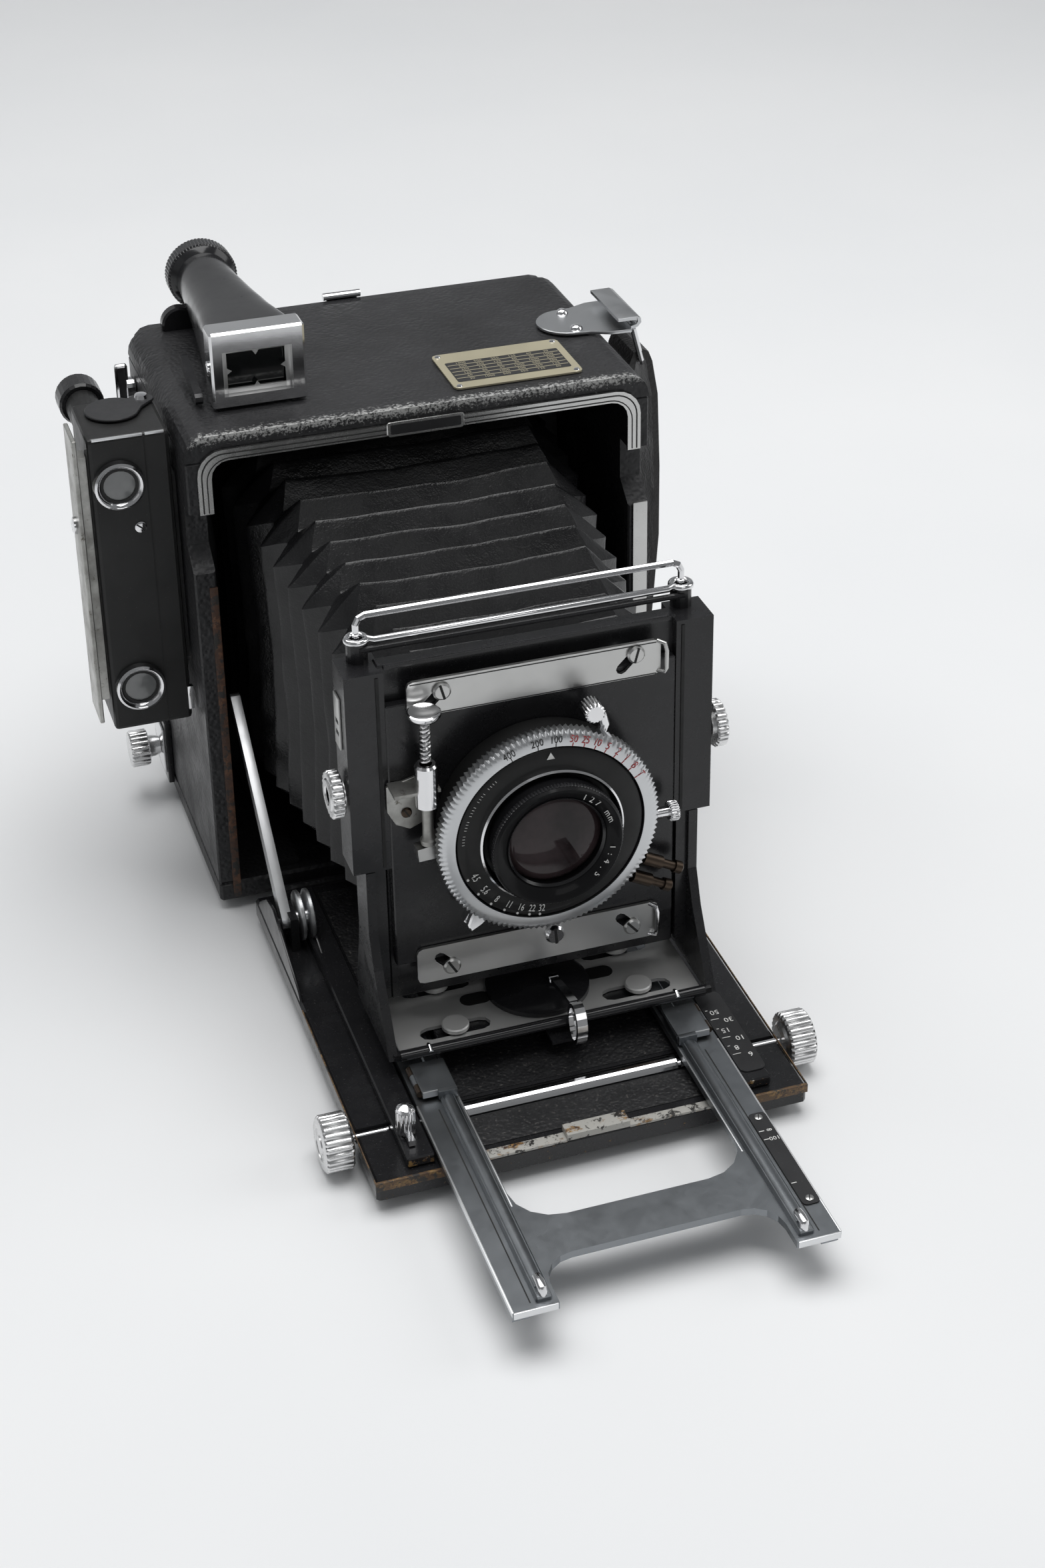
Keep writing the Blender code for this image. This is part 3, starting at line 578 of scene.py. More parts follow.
def screw(name, at, axis, radius, body, material="chrome", angle=30.0, height=0.8):
    """A slotted screw head whose top faces along `axis`, a signed letter such as -Y."""
    sign = -1 if axis[0] == "-" else 1
    letter = axis[-1]
    along = {"X": Vector((1, 0, 0)), "Y": Vector((0, 1, 0)), "Z": Vector((0, 0, 1))}[letter] * sign
    side = Vector((0, 0, 1)) if letter != "Z" else Vector((1, 0, 0))
    side = Matrix.Rotation(math.radians(angle), 3, along) @ side
    place = facing(at, side, along.cross(side))
    shape = bmesh.new()
    profile = [(0, 0), (0, radius), (height * 0.6, radius), (height, radius * 0.78), (height, 0)]
    revolve(shape, "Z", (0, 0, 0), profile, 24)
    shape.transform(place)
    head = piece(name, shape, material, body)
    # painted shade: a dark bar across the head stands in for the shadowed recess of the slot
    chip(name + "_slot", (radius * 1.8, radius * 0.28, 0.3), place, "slot", body, height - 0.1)
    return head


# ---------------------------------------------------------------- CAD nodes


# nodes with their material and the width of their edges' bevel
NODE_LOOKS = {
    ("leather", 0.0): "body_top",
    ("leather", 0.5): "body_bottom body_left body_right hood_door",
    ("brass", 0.1): "exposure_plate",
    ("trim", 0.3): "tripod_plate",
    ("trim", 0.25): "front_trim",
    ("cloth", 0.0): "shutter_curtain",
    ("strap", 0.5): "hand_strap",
    ("housing", 0.3): "rangefinder_housing",
    ("side", 0.2): "rangefinder_side_plate",
    ("screen", 0.1): "ground_glass",
    ("satin black", 0.3): "bellows_rear_frame rangefinder_flap",
    ("satin black", 0.0): "lens_barrel",
    ("enamel", 0.6): "back_frame",
    ("enamel", 0.5): "spring_back",
    ("enamel", 0.4): "lens_board",
    ("enamel", 0.3): "finder_shoe rangefinder_eyepiece standard_frame lens_panel",
    ("enamel", 0.2): "standard_carriage shutter_body",
    ("enamel", 0.0): "shutter_roller_upper shutter_roller_lower",
    ("gloss", 0.3): "finder_tube finder_lever",
    ("bed", 0.5): "bed_panel",
    ("guide", 0.4): "bed_guide_left bed_guide_right",
    ("chrome", 0.3): "winding_key finder_frame cocking_lever aperture_lever",
    ("chrome", 0.25): "standard_lock",
    ("chrome", 0.2): "peep_sight strut_left strut_right plunger",
    ("chrome", 0.1): "track_lock focus_shaft",
    ("chrome", 0.0): "strap_loop wire_finder",
    ("knob", 0.3): "tension_knob",
    ("knob", 0.2): "rise_knob_left rise_knob_right focus_knob_left focus_knob_right",
    ("track", 0.35): "track_plate",
    ("track", 0.25): "stop_left stop_right",
    ("steel", 0.15): "standard_base",
    ("clip", 0.3): "release_lever",
    ("clip", 0.25): "strap_bracket",
    ("clip", 0.12): "clip_top clip_bottom",
    ("ring", 0.0): "speed_ring",
}


def dress(thing, material, edge):
    """Gives a CAD node its look."""
    thing.data.materials.clear()
    thing.data.materials.append(M[material])
    for polygon in thing.data.polygons:
        polygon.material_index = 0
        polygon.use_smooth = True
    if edge:
        modifier = thing.modifiers.new("edge", "BEVEL")
        modifier.width = edge * MM
        modifier.segments = 2
        modifier.limit_method = "ANGLE"
        modifier.angle_limit = CREASE
        modifier.harden_normals = True
    else:
        modifier = thing.modifiers.new("hold", "EDGE_SPLIT")
        modifier.split_angle = CREASE


def make_plain_nodes():
    for (material, edge), names in NODE_LOOKS.items():
        for name in names.split():
            dress(NODES[name], material, edge)


# ------------------------------------------------------------------ bellows


FOLD_REAR, FOLD_FRONT, HALF_PITCH = 26.95, -146.4, 6.75
RIDGE_CHAMFER, VALLEY_CHAMFER, FOLD_DEPTH = 15.5, 3.0, 8.2


def bellows_ring(y, valley):
    """Corners of one section; `valley` runs from 0 on a ridge to 1 in a fold."""
    half = min(58.7 + 0.101 * (y + 47.3), 62.0)
    high = max(min(157.0 + 0.105 * (y + 47.3), 161.0), 147.5)
    low = 30.0 - 0.03 * y
    chamfer = RIDGE_CHAMFER + (VALLEY_CHAMFER - RIDGE_CHAMFER) * valley
    inset = FOLD_DEPTH * valley
    half, low, high = half - inset, low + inset, high - inset
    flat = half - chamfer
    middle = X0 * (27 - y) / 180
    corners = [
        (half, low + chamfer), (half, high - chamfer), (flat, high), (-flat, high),
        (-half, high - chamfer), (-half, low + chamfer), (-flat, low), (flat, low),
    ]
    return [Vector((middle + u, y, v)) for u, v in corners]


def fold_stations():
    """Depths of the sections with their share of a fold, tips slightly rounded."""
    stations = []
    k = 0
    while True:
        start = FOLD_REAR - k * HALF_PITCH
        for t in (0.0, 0.05, 0.13, 0.3, 0.5, 0.7, 0.87, 0.95):
            y = start - t * HALF_PITCH
            if y <= FOLD_FRONT:
                return stations + [(FOLD_FRONT, stations[-1][1])]
            blunt = 0.05
            fall = math.hypot(t, blunt) if t < 0.5 else 1 - math.hypot(1 - t, blunt)
            stations.append((y, 1 - fall if k % 2 == 0 else fall))
        k += 1


def bellows_points(y, valley):
    corners = bellows_ring(y, valley)
    points = []
    for c in range(8):
        start, end = corners[c], corners[(c + 1) % 8]
        parts = 12 if c % 2 == 0 else 4
        for i in range(parts):
            point = start.lerp(end, i / parts)
            push = (point - Vector((X0, point.y, 93))).normalized()
            crease = noise.noise(Vector((point.x * 0.06, point.y * 0.09, point.z * 0.06)))
            fine = noise.noise(Vector((point.x * 0.25, point.y * 0.3, point.z * 0.25)))
            droop = math.sin(math.pi * i / parts) * (1.2 if parts > 4 else 0.0)
            points.append(point + push * (crease * 0.9 + fine * 0.25 - droop))
    return points


def make_bellows():
    """Pleated leather in runs; the middle run rides the bed and the other runs are left unattached."""
    runs = (
        ("rear", 0.0, ("body", "bed")),
        ("middle", -80.0, None),
        ("front", -120.0, ("track", "carriage")),
        ("shift", -134.0, ("carriage", "standard")),
        ("panel", FOLD_FRONT, ("standard", "lens_panel")),
    )
    stations = fold_stations()
    ends = [0]
    for name, end, between in runs:
        ends.append(min(range(len(stations)), key=lambda k: abs(stations[k][0] - end)))
    for (name, end, between), first, last in zip(runs, ends, ends[1:]):
        shape = bmesh.new()
        rings = []
        for y, valley in stations[first:last + 1]:
            rings.append([shape.verts.new(point * MM) for point in bellows_points(y, valley)])
        bridge(shape, rings)
        thing = piece("bellows_" + name, shape, "bellows", None)
        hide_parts("bellows")
        if between:
            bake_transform(thing)
        else:
            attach(thing, "bed")
            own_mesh(thing)


# -------------------------------------------------------------- lens shutter


def on_dial(angle, radius, y):
    """A point on the shutter face; angle in degrees from +X towards +Z."""
    a = math.radians(angle)
    return (LENS[0] + radius * math.cos(a), y, LENS[1] + radius * math.sin(a))


def dial_place(angle, radius, y, spin=0.0):
    a = math.radians(angle + spin)
    up = (math.cos(a), 0, math.sin(a))
    right = (math.sin(a), 0, -math.cos(a))
    return facing(on_dial(angle, radius, y), right, up)


def make_speed_ring():
    shape = bmesh.new()
    teeth, steps = 120, 480
    profile = (
        (-171.4, 36.3, True), (-174.6, 36.3, True), (-175.3, 35.0, False), (-175.9, 33.4, False),
        (-176.0, 31.0, False), (-175.4, 30.8, False), (-171.4, 30.8, False),
    )
    cuts = [0.95 * abs(2 * (i * teeth / steps % 1.0) - 1) for i in range(steps)]
    rings = []
    for y, radius, toothed in profile:
        reaches = [radius - cut if toothed else radius for cut in cuts]
        rings.append(round_ring(shape, axis_place("Y", LENS_AXIS), y, reaches))
    bridge(shape, rings, True)
    thing = piece("speed_ring_look", shape, "ring", "speed_ring")
    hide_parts("speed_ring")
    for i, text in enumerate("400 200 100 50 25 10 5 2 1 B T".split()):
        angle = (113, 97, 86.5)[i] if i < 3 else 76.5 - (i - 3) * 7
        color = "black ink" if i < 3 else "red"
        label("speed_" + text, text, 3.7, dial_place(angle, 33.4, -176.05), color, "speed_ring", 0.74)
        chip("speed_mark_" + text, (0.28, 1.2, 0.05), dial_place(angle, 31.6, -176.05), color, "speed_ring")


def make_shutter():
    body = "lens_panel"
    face = [(-174.0, 0), (-174.0, 21.8), (-176.3, 22.2), (-176.6, 23.4), (-176.0, 29.6), (-175.5, 30.3),
            (-171, 30.3), (-171, 33.0), (-161.2, 33.0), (-161.2, 0.0)]
    thing = turned("shutter_look", "Y", LENS_AXIS, face, "face", body, 96)
    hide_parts("shutter_body")
    rim = [(-176.0, 21.8), (-177.4, 22.2), (-178.1, 22.9), (-177.6, 23.5), (-176.0, 23.7)]
    turned("face_rim", "Y", LENS_AXIS, rim, "chrome", body, 96, closed=True)
    for i, text in enumerate("4.5 5.6 8 11 16 22 32".split()):
        angle = 262.5 - (6 - i) * (6.2 + (6 - i) * 0.62)
        label("stop_" + text, text, 3.6, dial_place(angle, 27.2, -176.6, 180), "white", body, 0.62)
        mark = bmesh.new()
        revolve(mark, "Y", on_dial(angle - 0.5, 29.6, -176.2), [(-0.1, 0), (-0.1, 0.42), (0.2, 0.42)], 10)
        piece("stop_dot_" + text, mark, "white", body)
    place = dial_place(90, 27.2, -176.6)
    triangle("index_mark", ((-1.3, 0), (1.3, 0), (0, 2.4)), place, "white", body)
    for i in range(24):
        if i % 5 != 4:
            place = dial_place(128 + i * 2.1, 28.6, -176.25)
            chip(f"fine_mark_{i}", (0.16, 0.8, 0.04), place, "white", body)

    barrel = [(-176.0, 20.6), (-180.0, 20.9), (-183.6, 21.0), (-184.4, 20.4), (-184.2, 19.6), (-182.6, 17.4),
              (-181.6, 16.2), (-181.0, 15.7), (-176.0, 15.7)]
    thing = turned("barrel_look", "Y", LENS_AXIS, barrel, "deep", body, 120, closed=True)
    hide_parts("lens_barrel")
    fluted("barrel_grip", "Y", LENS_AXIS, (-183.4, -181.4), 21.3, 0.35, 120, "enamel", body, 0.1, 20.0)
    ring = [(-181.2, 15.2), (-182.0, 15.9), (-181.0, 16.2), (-180.4, 15.4)]
    turned("retaining_ring", "Y", LENS_AXIS, ring, "gloss", body, 96, closed=True)
    bulge = [(-178.2 - 2.4 * math.sqrt(max(0.0, 1 - (i / 12) ** 2)), 15.6 * i / 12) for i in range(13)]
    turned("front_glass", "Y", LENS_AXIS, bulge + [(-174.5, 15.6), (-174.5, 0)], "lens glass", body, 96)
    for i, letter in enumerate("127 mm   1:4.5"):
        if letter != " ":
            label(f"lens_word_{i}", letter, 3.0, dial_place(62 - i * 8.4, 18.1, -183.75), "white", body)

    # cable socket with its stub, small side knob, contact posts
    profile = [(-174.5, 0), (-174.5, 2.2), (-171, 2.6), (-165, 2.6), (-165, 0)]
    turned("socket", "Y", (-3, 0, 122.8), profile, "chrome", body, 24)
    profile = [(-172.5, 0), (-172.5, 0.9), (-171.6, 1.3), (-165, 1.3), (-165, 0)]
    turned("socket_stub", "Y", (0.6, 0, 124.2), profile, "chrome", body, 16)
    # painted shade: a dark disc stands in for the socket's hole
    turned("socket_hole", "Y", (-3, 0, 122.8), [(-174.6, 0), (-174.6, 1.1), (-174.0, 1.1)], "slot", body, 16)
    fluted("side_knob", "X", (0, -168.5, 88), (43.0, 46.2), 3.4, 0.35, 22, "chrome", body, 0.4)
    turned("side_stem", "X", (0, -168.5, 88), [(36, 0), (36, 1.8), (43, 1.8), (43, 0)], "chrome", body, 20)
    profile = [(-8, 0), (-8, 2.2), (-1, 2.2), (-1, 1.5), (4, 1.5), (4, 2.1), (6.5, 2.1), (7, 1.6), (7, 0)]
    for index, (x, z) in enumerate(((44.5, 66.1), (40.8, 60.1))):
        shape = bmesh.new()
        turn = Matrix.Translation(Vector((x - 2, -166.5, z + 1)) * MM)
        turn = turn @ Matrix.Rotation(math.radians(28), 4, "Y") @ axis_turn("X")
        revolve(shape, "Z", (0, 0, 0), profile, 20)
        shape.transform(turn)
        piece(f"sync_post_{index}", shape, "post", body)


def make_levers():
    """Fluted knob and arm of the cocking lever, and the pointed aperture tab."""
    body = "cocking_lever"
    x, y, z = on_dial(68, 41.5, 0)
    fluted("cocking_knob", "Y", (x, y, z), (-174.2, -167.4), 3.3, 0.35, 16, "chrome", body, 0.5)
    path = ((58, 35.0, -170), (59, 38.0, -170.2), (63, 40.6, -170.4), (67, 41.6, -170.5))
    thing = wire("cocking_arm", [on_dial(*point) for point in path], 1.8, "chrome", body, 14)
    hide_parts("cocking_lever")
    path = ((226.5, 34.6), (236.5, 34.6), (235.5, 38.5), (232.6, 42.4), (229.6, 41.0), (228, 38.2))
    outline = [on_dial(angle, radius, 0)[::2] for angle, radius in path]
    slab("aperture_tab", "XZ", outline, (-172.6, -169.4), "chrome", "aperture_lever", 0.6)


SPRING_COILS, COIL_STEPS = 9, 15


def make_release():
    """The plunger beside the shutter with its spring, cylinder and bracket."""
    x, y, z = PLUNGER_AXIS
    body = "lens_panel"
    tube = [(107.5, 2.0), (107.5, 3.6), (121.6, 3.6), (122.4, 3.0), (122.4, 2.0)]
    turned("plunger_cylinder", "Z", PLUNGER_AXIS, tube, "chrome", body, 32, closed=True)
    cap = [(93.5, 0), (93.5, 2.4), (95.2, 2.6), (96.2, 1.9), (99.4, 1.75), (107, 1.75), (107, 0)]
    turned("plunger_end", "Z", PLUNGER_AXIS, cap, "side", "plunger", 24)
    top = [(122.6, 1.0), (136.4, 1.0), (137.6, 2.0), (138.6, 4.6), (139.6, 5.3), (140.6, 5.3), (140.9, 4.8),
           (140.0, 3.0), (139.8, 0)]
    thing = turned("plunger_cap", "Z", PLUNGER_AXIS, top, "chrome", "plunger", 40)
    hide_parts("plunger")
    points = []
    for i in range(SPRING_COILS * COIL_STEPS + 1):
        angle = 2 * math.pi * i / COIL_STEPS
        rise = 14.0 * i / (SPRING_COILS * COIL_STEPS)
        points.append((x + 1.45 * math.cos(angle), y + 1.45 * math.sin(angle), 122.6 + rise))
    wire("plunger_spring", points, 0.38, "knob", "plunger", 6)
    outline = [
        (-47, 112), (-33, 115.5), (-31.5, 117), (-32.5, 104), (-35.5, 97.5), (-40, 95.6), (-44.5, 98),
        (-47, 103),
    ]
    slab("plunger_bracket", "XZ", outline, (-161.9, -160.7), "side", body, 0.2)
    block("bracket_arm", (-46.6, -31.8), (-169.5, -160.8), (112.0, 113.2), "side", body, 0.2)
    screw("bracket_screw", (-41, -161.9, 102), "-Y", 1.7, body, "post")


# ------------------------------------------------------------------ standard


def make_standard():
    body = "lens_panel"
    spots = ((-28.6, 143.2, 15), (34.1, 143.9, -15), (-28.2, 41.2, 30), (33.3, 41.9, 40))
    for index, (x, z, angle) in enumerate(spots):
        screw(f"clip_screw_{index}", (x, -162.2, z), "-Y", 2.9, body, "clip", angle, 1.3)
    screw("board_screw", (6.5, -162.2, 45.6), "-Y", 3.3, body, "chrome", 5, 2.2)
    # raised borders of the top clip and its bent end
    for z in (135.6, 146.6):
        span = (z, z + 0.25)
        block(f"clip_border_{int(z)}", (-38.5, 41), (-162.25, -162.0), span, "black ink", "clip_top", 0)
    path = [
        (41.5, -161.6, 136.4), (43.4, -163.4, 136.6), (43.9, -163.8, 138), (43.9, -163.8, 144),
        (43.4, -163.4, 146.6), (41.5, -161.6, 147),
    ]
    wire("clip_hook", path, 0.7, "clip", "clip_top", 10)
    path = [
        (39.6, -161.6, 37.0), (41.4, -163.2, 37.4), (41.8, -163.6, 39), (41.8, -163.6, 46.4),
        (41.4, -163.2, 48.2), (39.6, -161.6, 48.8),
    ]
    wire("lower_hook", path, 0.8, "chrome", "clip_bottom", 10)
    # eyelets at the top of the sleeves
    for side in (-1, 1):
        x = X0 + side * 52.5
        ring = [(x + 3.0 * math.cos(a), -149.6 + 3.0 * math.sin(a), 158.6) for a in turns(24)]
        wire(f"eyelet_{side}", ring, 1.15, "chrome", body, 12, closed=True)
    wire("lower_wire", [(X0 - 49.3, -150.2, 158.6), (X0 - 47.5, -151.5, 158.6), (X0 + 47.5, -151.5, 158.6),
                        (X0 + 49.3, -150.2, 158.6)], 1.15, "chrome", body, 14)
    for name, side in (("rise_knob_left", -1), ("rise_knob_right", 1)):
        near = X0 + side * 60.4
        span = sorted((near + side * 0.8, near + side * 4.6))
        thing = fluted(name + "_look", "X", RISE_AXIS, span, 7.8, 0.8, 20, "knob", name, 0.5)
        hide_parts(name)
        neck = sorted((near, near + side * 2))
        profile = [(neck[0], 0), (neck[0], 4.6), (neck[1], 4.6), (neck[1], 0)]
        turned(name + "_neck", "X", RISE_AXIS, profile, "knob", name, 24)
        end = near + side * 4.6
        profile = [(end, 5.4), (end + side * 0.5, 5.0), (end + side * 0.5, 3.2), (end, 2.8), (end, 0)]
        turned(name + "_face", "X", RISE_AXIS, profile, "knob", name, 32)
    # ridge lines of the panel
    block("panel_top_edge", (X0 - 46.5, X0 + 46.5), (-157.9, -156.4), (151.0, 152.4), "enamel", body, 0.3)
    for side in (-1, 1):
        x = X0 + side * 49.4
        block(f"panel_groove_{side}", (x - 0.5, x + 0.5), (-160.35, -159.9), (82, 150), "slot", body, 0)
    plate = X0 - 60.4
    block("sleeve_plate", (plate, X0 - 59.7), (-155, -149), (124, 142), "clip", body, 0.15)
    # painted shade: dark blocks stand in for the two slots through the sleeve plate
    for z in (128.5, 132.5):
        span = (plate - 0.05, plate + 0.2)
        block(f"plate_slot_{int(z)}", span, (-154, -151), (z, z + 1.4), "slot", body, 0)
    # studs' turned tops and the pins on the front bar
    profile = [(21.2, 0), (21.2, 4.2), (21.5, 4.5), (22.6, 4.5), (23.0, 4.1), (22.85, 0)]
    for index, (x, y) in enumerate(((-29.4, -168.3), (33.6, -167.8), (33.7, -144.9), (-29.6, -145.2))):
        turned(f"stud_top_{index}", "Z", (x, y, 0), profile, "steel", "carriage", 40)
    for x in (-40.7, 43.3):
        path = [(x, -179.4, 22.4), (x, -177.5, 23.3), (x, -175.9, 22.6)]
        wire(f"bar_pin_{int(x)}", path, 0.75, "chrome", "standard", 10)
    roll = [(-50.5, 0), (-50.5, 1.7), (53, 1.7), (53, 0)]
    turned("front_roll", "X", (0, -177.7, 21.7), roll, "gloss", "standard", 24)
    # painted shade: thin dark slabs stand in for the two slots in the standard
    for side in (-1, 1):
        centre = 2.5 + side * 21.2
        hole = rounded((centre - 5.2, centre + 5.2), (-158.6, -152.4), 3.0, 6)
        slab(f"arc_slot_{side}", "XY", hole, (20.6, 20.82), "slot", "standard", 0.02)
    disc = [
        (21.0, 17.3), (22.6, 17.2), (23.3, 15.4), (23.6, 9.0), (24.3, 6.5), (24.5, 3), (24.5, 0), (21.0, 0),
    ]
    turned("black_disc", "Z", (2.5, -156, 0), disc, "gloss", "standard", 72)


# ------------------------------------------------------------------ bed, track


def make_bed():
    for name, front, back in (("bed_floor", -190.6, -66), ("bed_floor_front", -215.5, -201.6)):
        outline = [(-49.5, front), (49.5, front), (49.5, back), (-49.5, back)]
        slab(name, "XY", outline, (11.0, 11.25), "crackle", "bed", 0.05)
    for name, side in (("focus_knob_left", -1), ("focus_knob_right", 1)):
        span = sorted((side * 73.2, side * 82.0))
        thing = fluted(name + "_look", "X", FOCUS_AXIS, span, 9.2, 0.8, 24, "knob", "focus", 0.6)
        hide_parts(name)
        end = side * 82.0
        profile = [
            (0, 8.4), (0.35, 7.8), (0.35, 5.4), (-0.5, 5.0), (-0.5, 3.4), (0.4, 3.0), (0.5, 2.0), (0.5, 0),
        ]
        profile = [(end + side * out, radius) for out, radius in profile]
        turned(name + "_face", "X", FOCUS_AXIS, profile, "knob", "focus", 48)
        near = side * 72.4
        profile = [(near, 0), (near, 5.4), (near + side * 1.0, 6.6), (near + side * 1.0, 0)]
        turned(name + "_collar", "X", FOCUS_AXIS, profile, "knob", "focus", 32)
    fluted("lock_grip", "Z", LOCK_POST, (15.6, 24.2), 3.1, 0.5, 14, "chrome", "track_lock", 0.3)
    cone = [(24.2, 2.9), (25.0, 2.6), (26.2, 0.7), (26.3, 0)]
    turned("lock_point", "Z", LOCK_POST, cone, "chrome", "track_lock", 32)
    # flaking lip along the front of the bed
    block("lip_left", (-49.3, -9.8), (-221.9, -217.9), (10.6, 11.45), "lip", "bed", 0.2)
    block("lip_right", (10.9, 49.3), (-221.9, -218.6), (10.6, 11.45), "lip", "bed", 0.2)
    block("lip_latch", (-9.8, 10.9), (-222.0, -216.4), (11.0, 13.3), "lip", "bed", 0.3)
    for side in (-1, 1):
        span = sorted((side * 49.3, side * 71.2))
        block(f"lip_corner_{side}", span, (-221.9, -220.9), (8.2, 11.3), "rusty", "bed", 0.2)
        span = sorted((side * 70.9, side * 71.25))
        block(f"bed_edge_{side}", span, (-221, -130), (10.3, 11.2), "rusty", "bed", 0.1)
    # distance scales, generic figures
    outline = rounded((51.6, 60.4), (-214, -171), 2.6, 5)
    slab("bed_scale", "XY", outline, (14.8, 15.2), "satin black", "bed", 0.1)
    figures = ((-182, "50"), (-187, "30"), (-192, "15"), (-197, "10"), (-201.5, "8"), (-206, "6"))
    for i, (y, text) in enumerate(figures):
        place = facing((58.0 if i % 2 else 55.0, y, 15.25), (1, 0, 0), (0, 1, 0))
        label("bed_scale_" + text, text, 3.2, place @ Matrix.Rotation(math.pi, 4, "Z"), "white", "bed")
        span = (52.4, 55.2 if i % 2 else 53.2)
        block(f"bed_mark_{i}", span, (y + 1.3, y + 1.55), (15.2, 15.27), "white", "bed", 0)
    outline = rounded((44.6, 50.2), (-279, -235), 1.5, 4)
    slab("track_scale", "XY", outline, (16.0, 16.45), "satin black", "track", 0.1)
    for i, y in enumerate((-244, -248, -269)):
        block(f"track_mark_{i}", (44.9, 46.6), (y, y + 0.3), (16.45, 16.52), "white", "track", 0)
    # the sign for far away is an 8 lying on its side
    for name, text, y, spin in (("far", "8", -243.9, 90), ("100", "100", -247.9, 180)):
        place = facing((48.4, y, 16.5), (1, 0, 0), (0, 1, 0)) @ Matrix.Rotation(math.radians(spin), 4, "Z")
        label("track_scale_" + name, text, 2.4, place, "white", "track")
    for y in (-237.4, -276.6):
        screw(f"scale_screw_{int(-y)}", (47.4, y, 16.45), "Z", 1.3, "track", "clip", 70, 0.4)
    # strut ends: turned spools, tabs and side plates
    for name, side in (("strut_left", -1), ("strut_right", 1)):
        for index, x in enumerate((58.5, 61.8)):
            profile = [(-1.0, 0), (-1.0, 8.2), (-0.6, 8.8), (0.4, 8.8), (0.8, 8.2), (0.8, 0)]
            profile = [(side * (x + a), r) for a, r in profile]
            turned(f"{name}_spool_{index}", "X", (0, -90, 20.7), profile, "bright", "bed", 48)
        rod = [(side * 57.5, 0), (side * 57.5, 2.6), (side * 66.5, 2.6), (side * 66.5, 0)]
        turned(name + "_axle", "X", (0, *STRUT_PIVOT), rod, "chrome", "bed", 24)
        tab = [(-84, 11.2), (-112, 11.2), (-112, 13.6), (-98, 16.5), (-86, 24)]
        slab(name + "_tab", "YZ", tab, sorted((side * 57.3, side * 58.3)), "gloss", "bed", 0.2)
        # the strut leans back into the body
        bar = arc((82.0, 0), 1.9, -90, 90, 6) + arc((0, 0), 3.1, 90, 270, 8) + [(12, -3.0), (30, -2.6)]
        c, s = math.cos(STRUT_LEAN), math.sin(STRUT_LEAN)
        bar = [(STRUT_PIVOT[0] + u * c - v * s, STRUT_PIVOT[1] + u * s + v * c) for u, v in bar]
        thing = slab(name + "_flat", "YZ", bar, sorted((side * 65.0, side * 68.4)), "bright", name, 0.1)
        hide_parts(name)
        cheek = [(-66, 11.2), (-126, 11.2), (-124, 13.6), (-100, 22), (-90, 25), (-80, 23), (-68, 14)]
        slab(name + "_cheek", "YZ", cheek, sorted((side * 69.8, side * 70.8)), "gloss", "bed", 0.2)


# blocks on one side of the track, and those of one folded stop
TRACK_BLOCKS = (
    ("rail_groove", (44.4, 44.8), (-290, -200), (15.95, 16.06), "slot", 0),
    # painted highlights: the bright strips along the rail's outer and inner edges and its front end stand in
    # for light on their bevels
    ("rail_edge", (50.2, 50.8), (-292.3, -196), (14.4, 16.05), "bright", 0.2),
    ("rail_inner", (36.7, 37.2), (-250, -196), (14.4, 16.05), "bright", 0.2),
    ("rail_front", (37, 50.4), (-292.9, -292.3), (13.8, 16.05), "bright", 0.2),
)
STOP_BLOCKS = (
    ("top", (37.2, 48.4), (-194.6, -179.8), (18.0, 19.6), "track", 0.5),
    ("leg", (37.2, 43.4), (-196.2, -194.2), (16.6, 19.6), "track", 0.3),
    # painted highlight: a bright strip across the stop's front face
    ("shine", (37.4, 48.2), (-194.9, -194.4), (17.2, 19.5), "bright", 0.2),
)


def make_track_edges():
    for side in (-1, 1):
        for part, x, y, z, material, edge in TRACK_BLOCKS:
            span = sorted(side * value for value in x)
            block(f"{part}_{side}", span, y, z, material, "track", edge)
        rib = [(side * 40.5 + 2.3 * math.cos(a), 16.2 + 1.9 * math.sin(a)) for a in turns(24)[:13]]
        slab(f"rail_rib_{side}", "XZ", rib, (-286, -196), "track", "track", 0.05)
        pin = [(side * 40.5, -288.6, 14.2), (side * 40.5, -288.9, 17.4), (side * 40.5, -288.2, 18.9),
               (side * 40.5, -286.6, 19.3), (side * 40.5, -283.6, 18.9)]
        wire(f"rail_stop_{side}", pin, 1.5, "chrome", "track", 14)
        # the folded stop with its front leg and hinge bits
        name = "stop_left" if side < 0 else "stop_right"
        for part, x, y, z, material, edge in STOP_BLOCKS:
            span = sorted(side * value for value in x)
            block(f"{name}_{part}", span, y, z, material, name, edge)
        profile = [(-2, 0), (-2, 1.2), (2, 1.2), (2, 0)]
        for y in (-191.5, -182.5):
            turned(f"{name}_knuckle_{int(-y)}", "Y", (side * 48.6, y, 18.1), profile, "post", name, 16)


# ----------------------------------------------------------------------- body


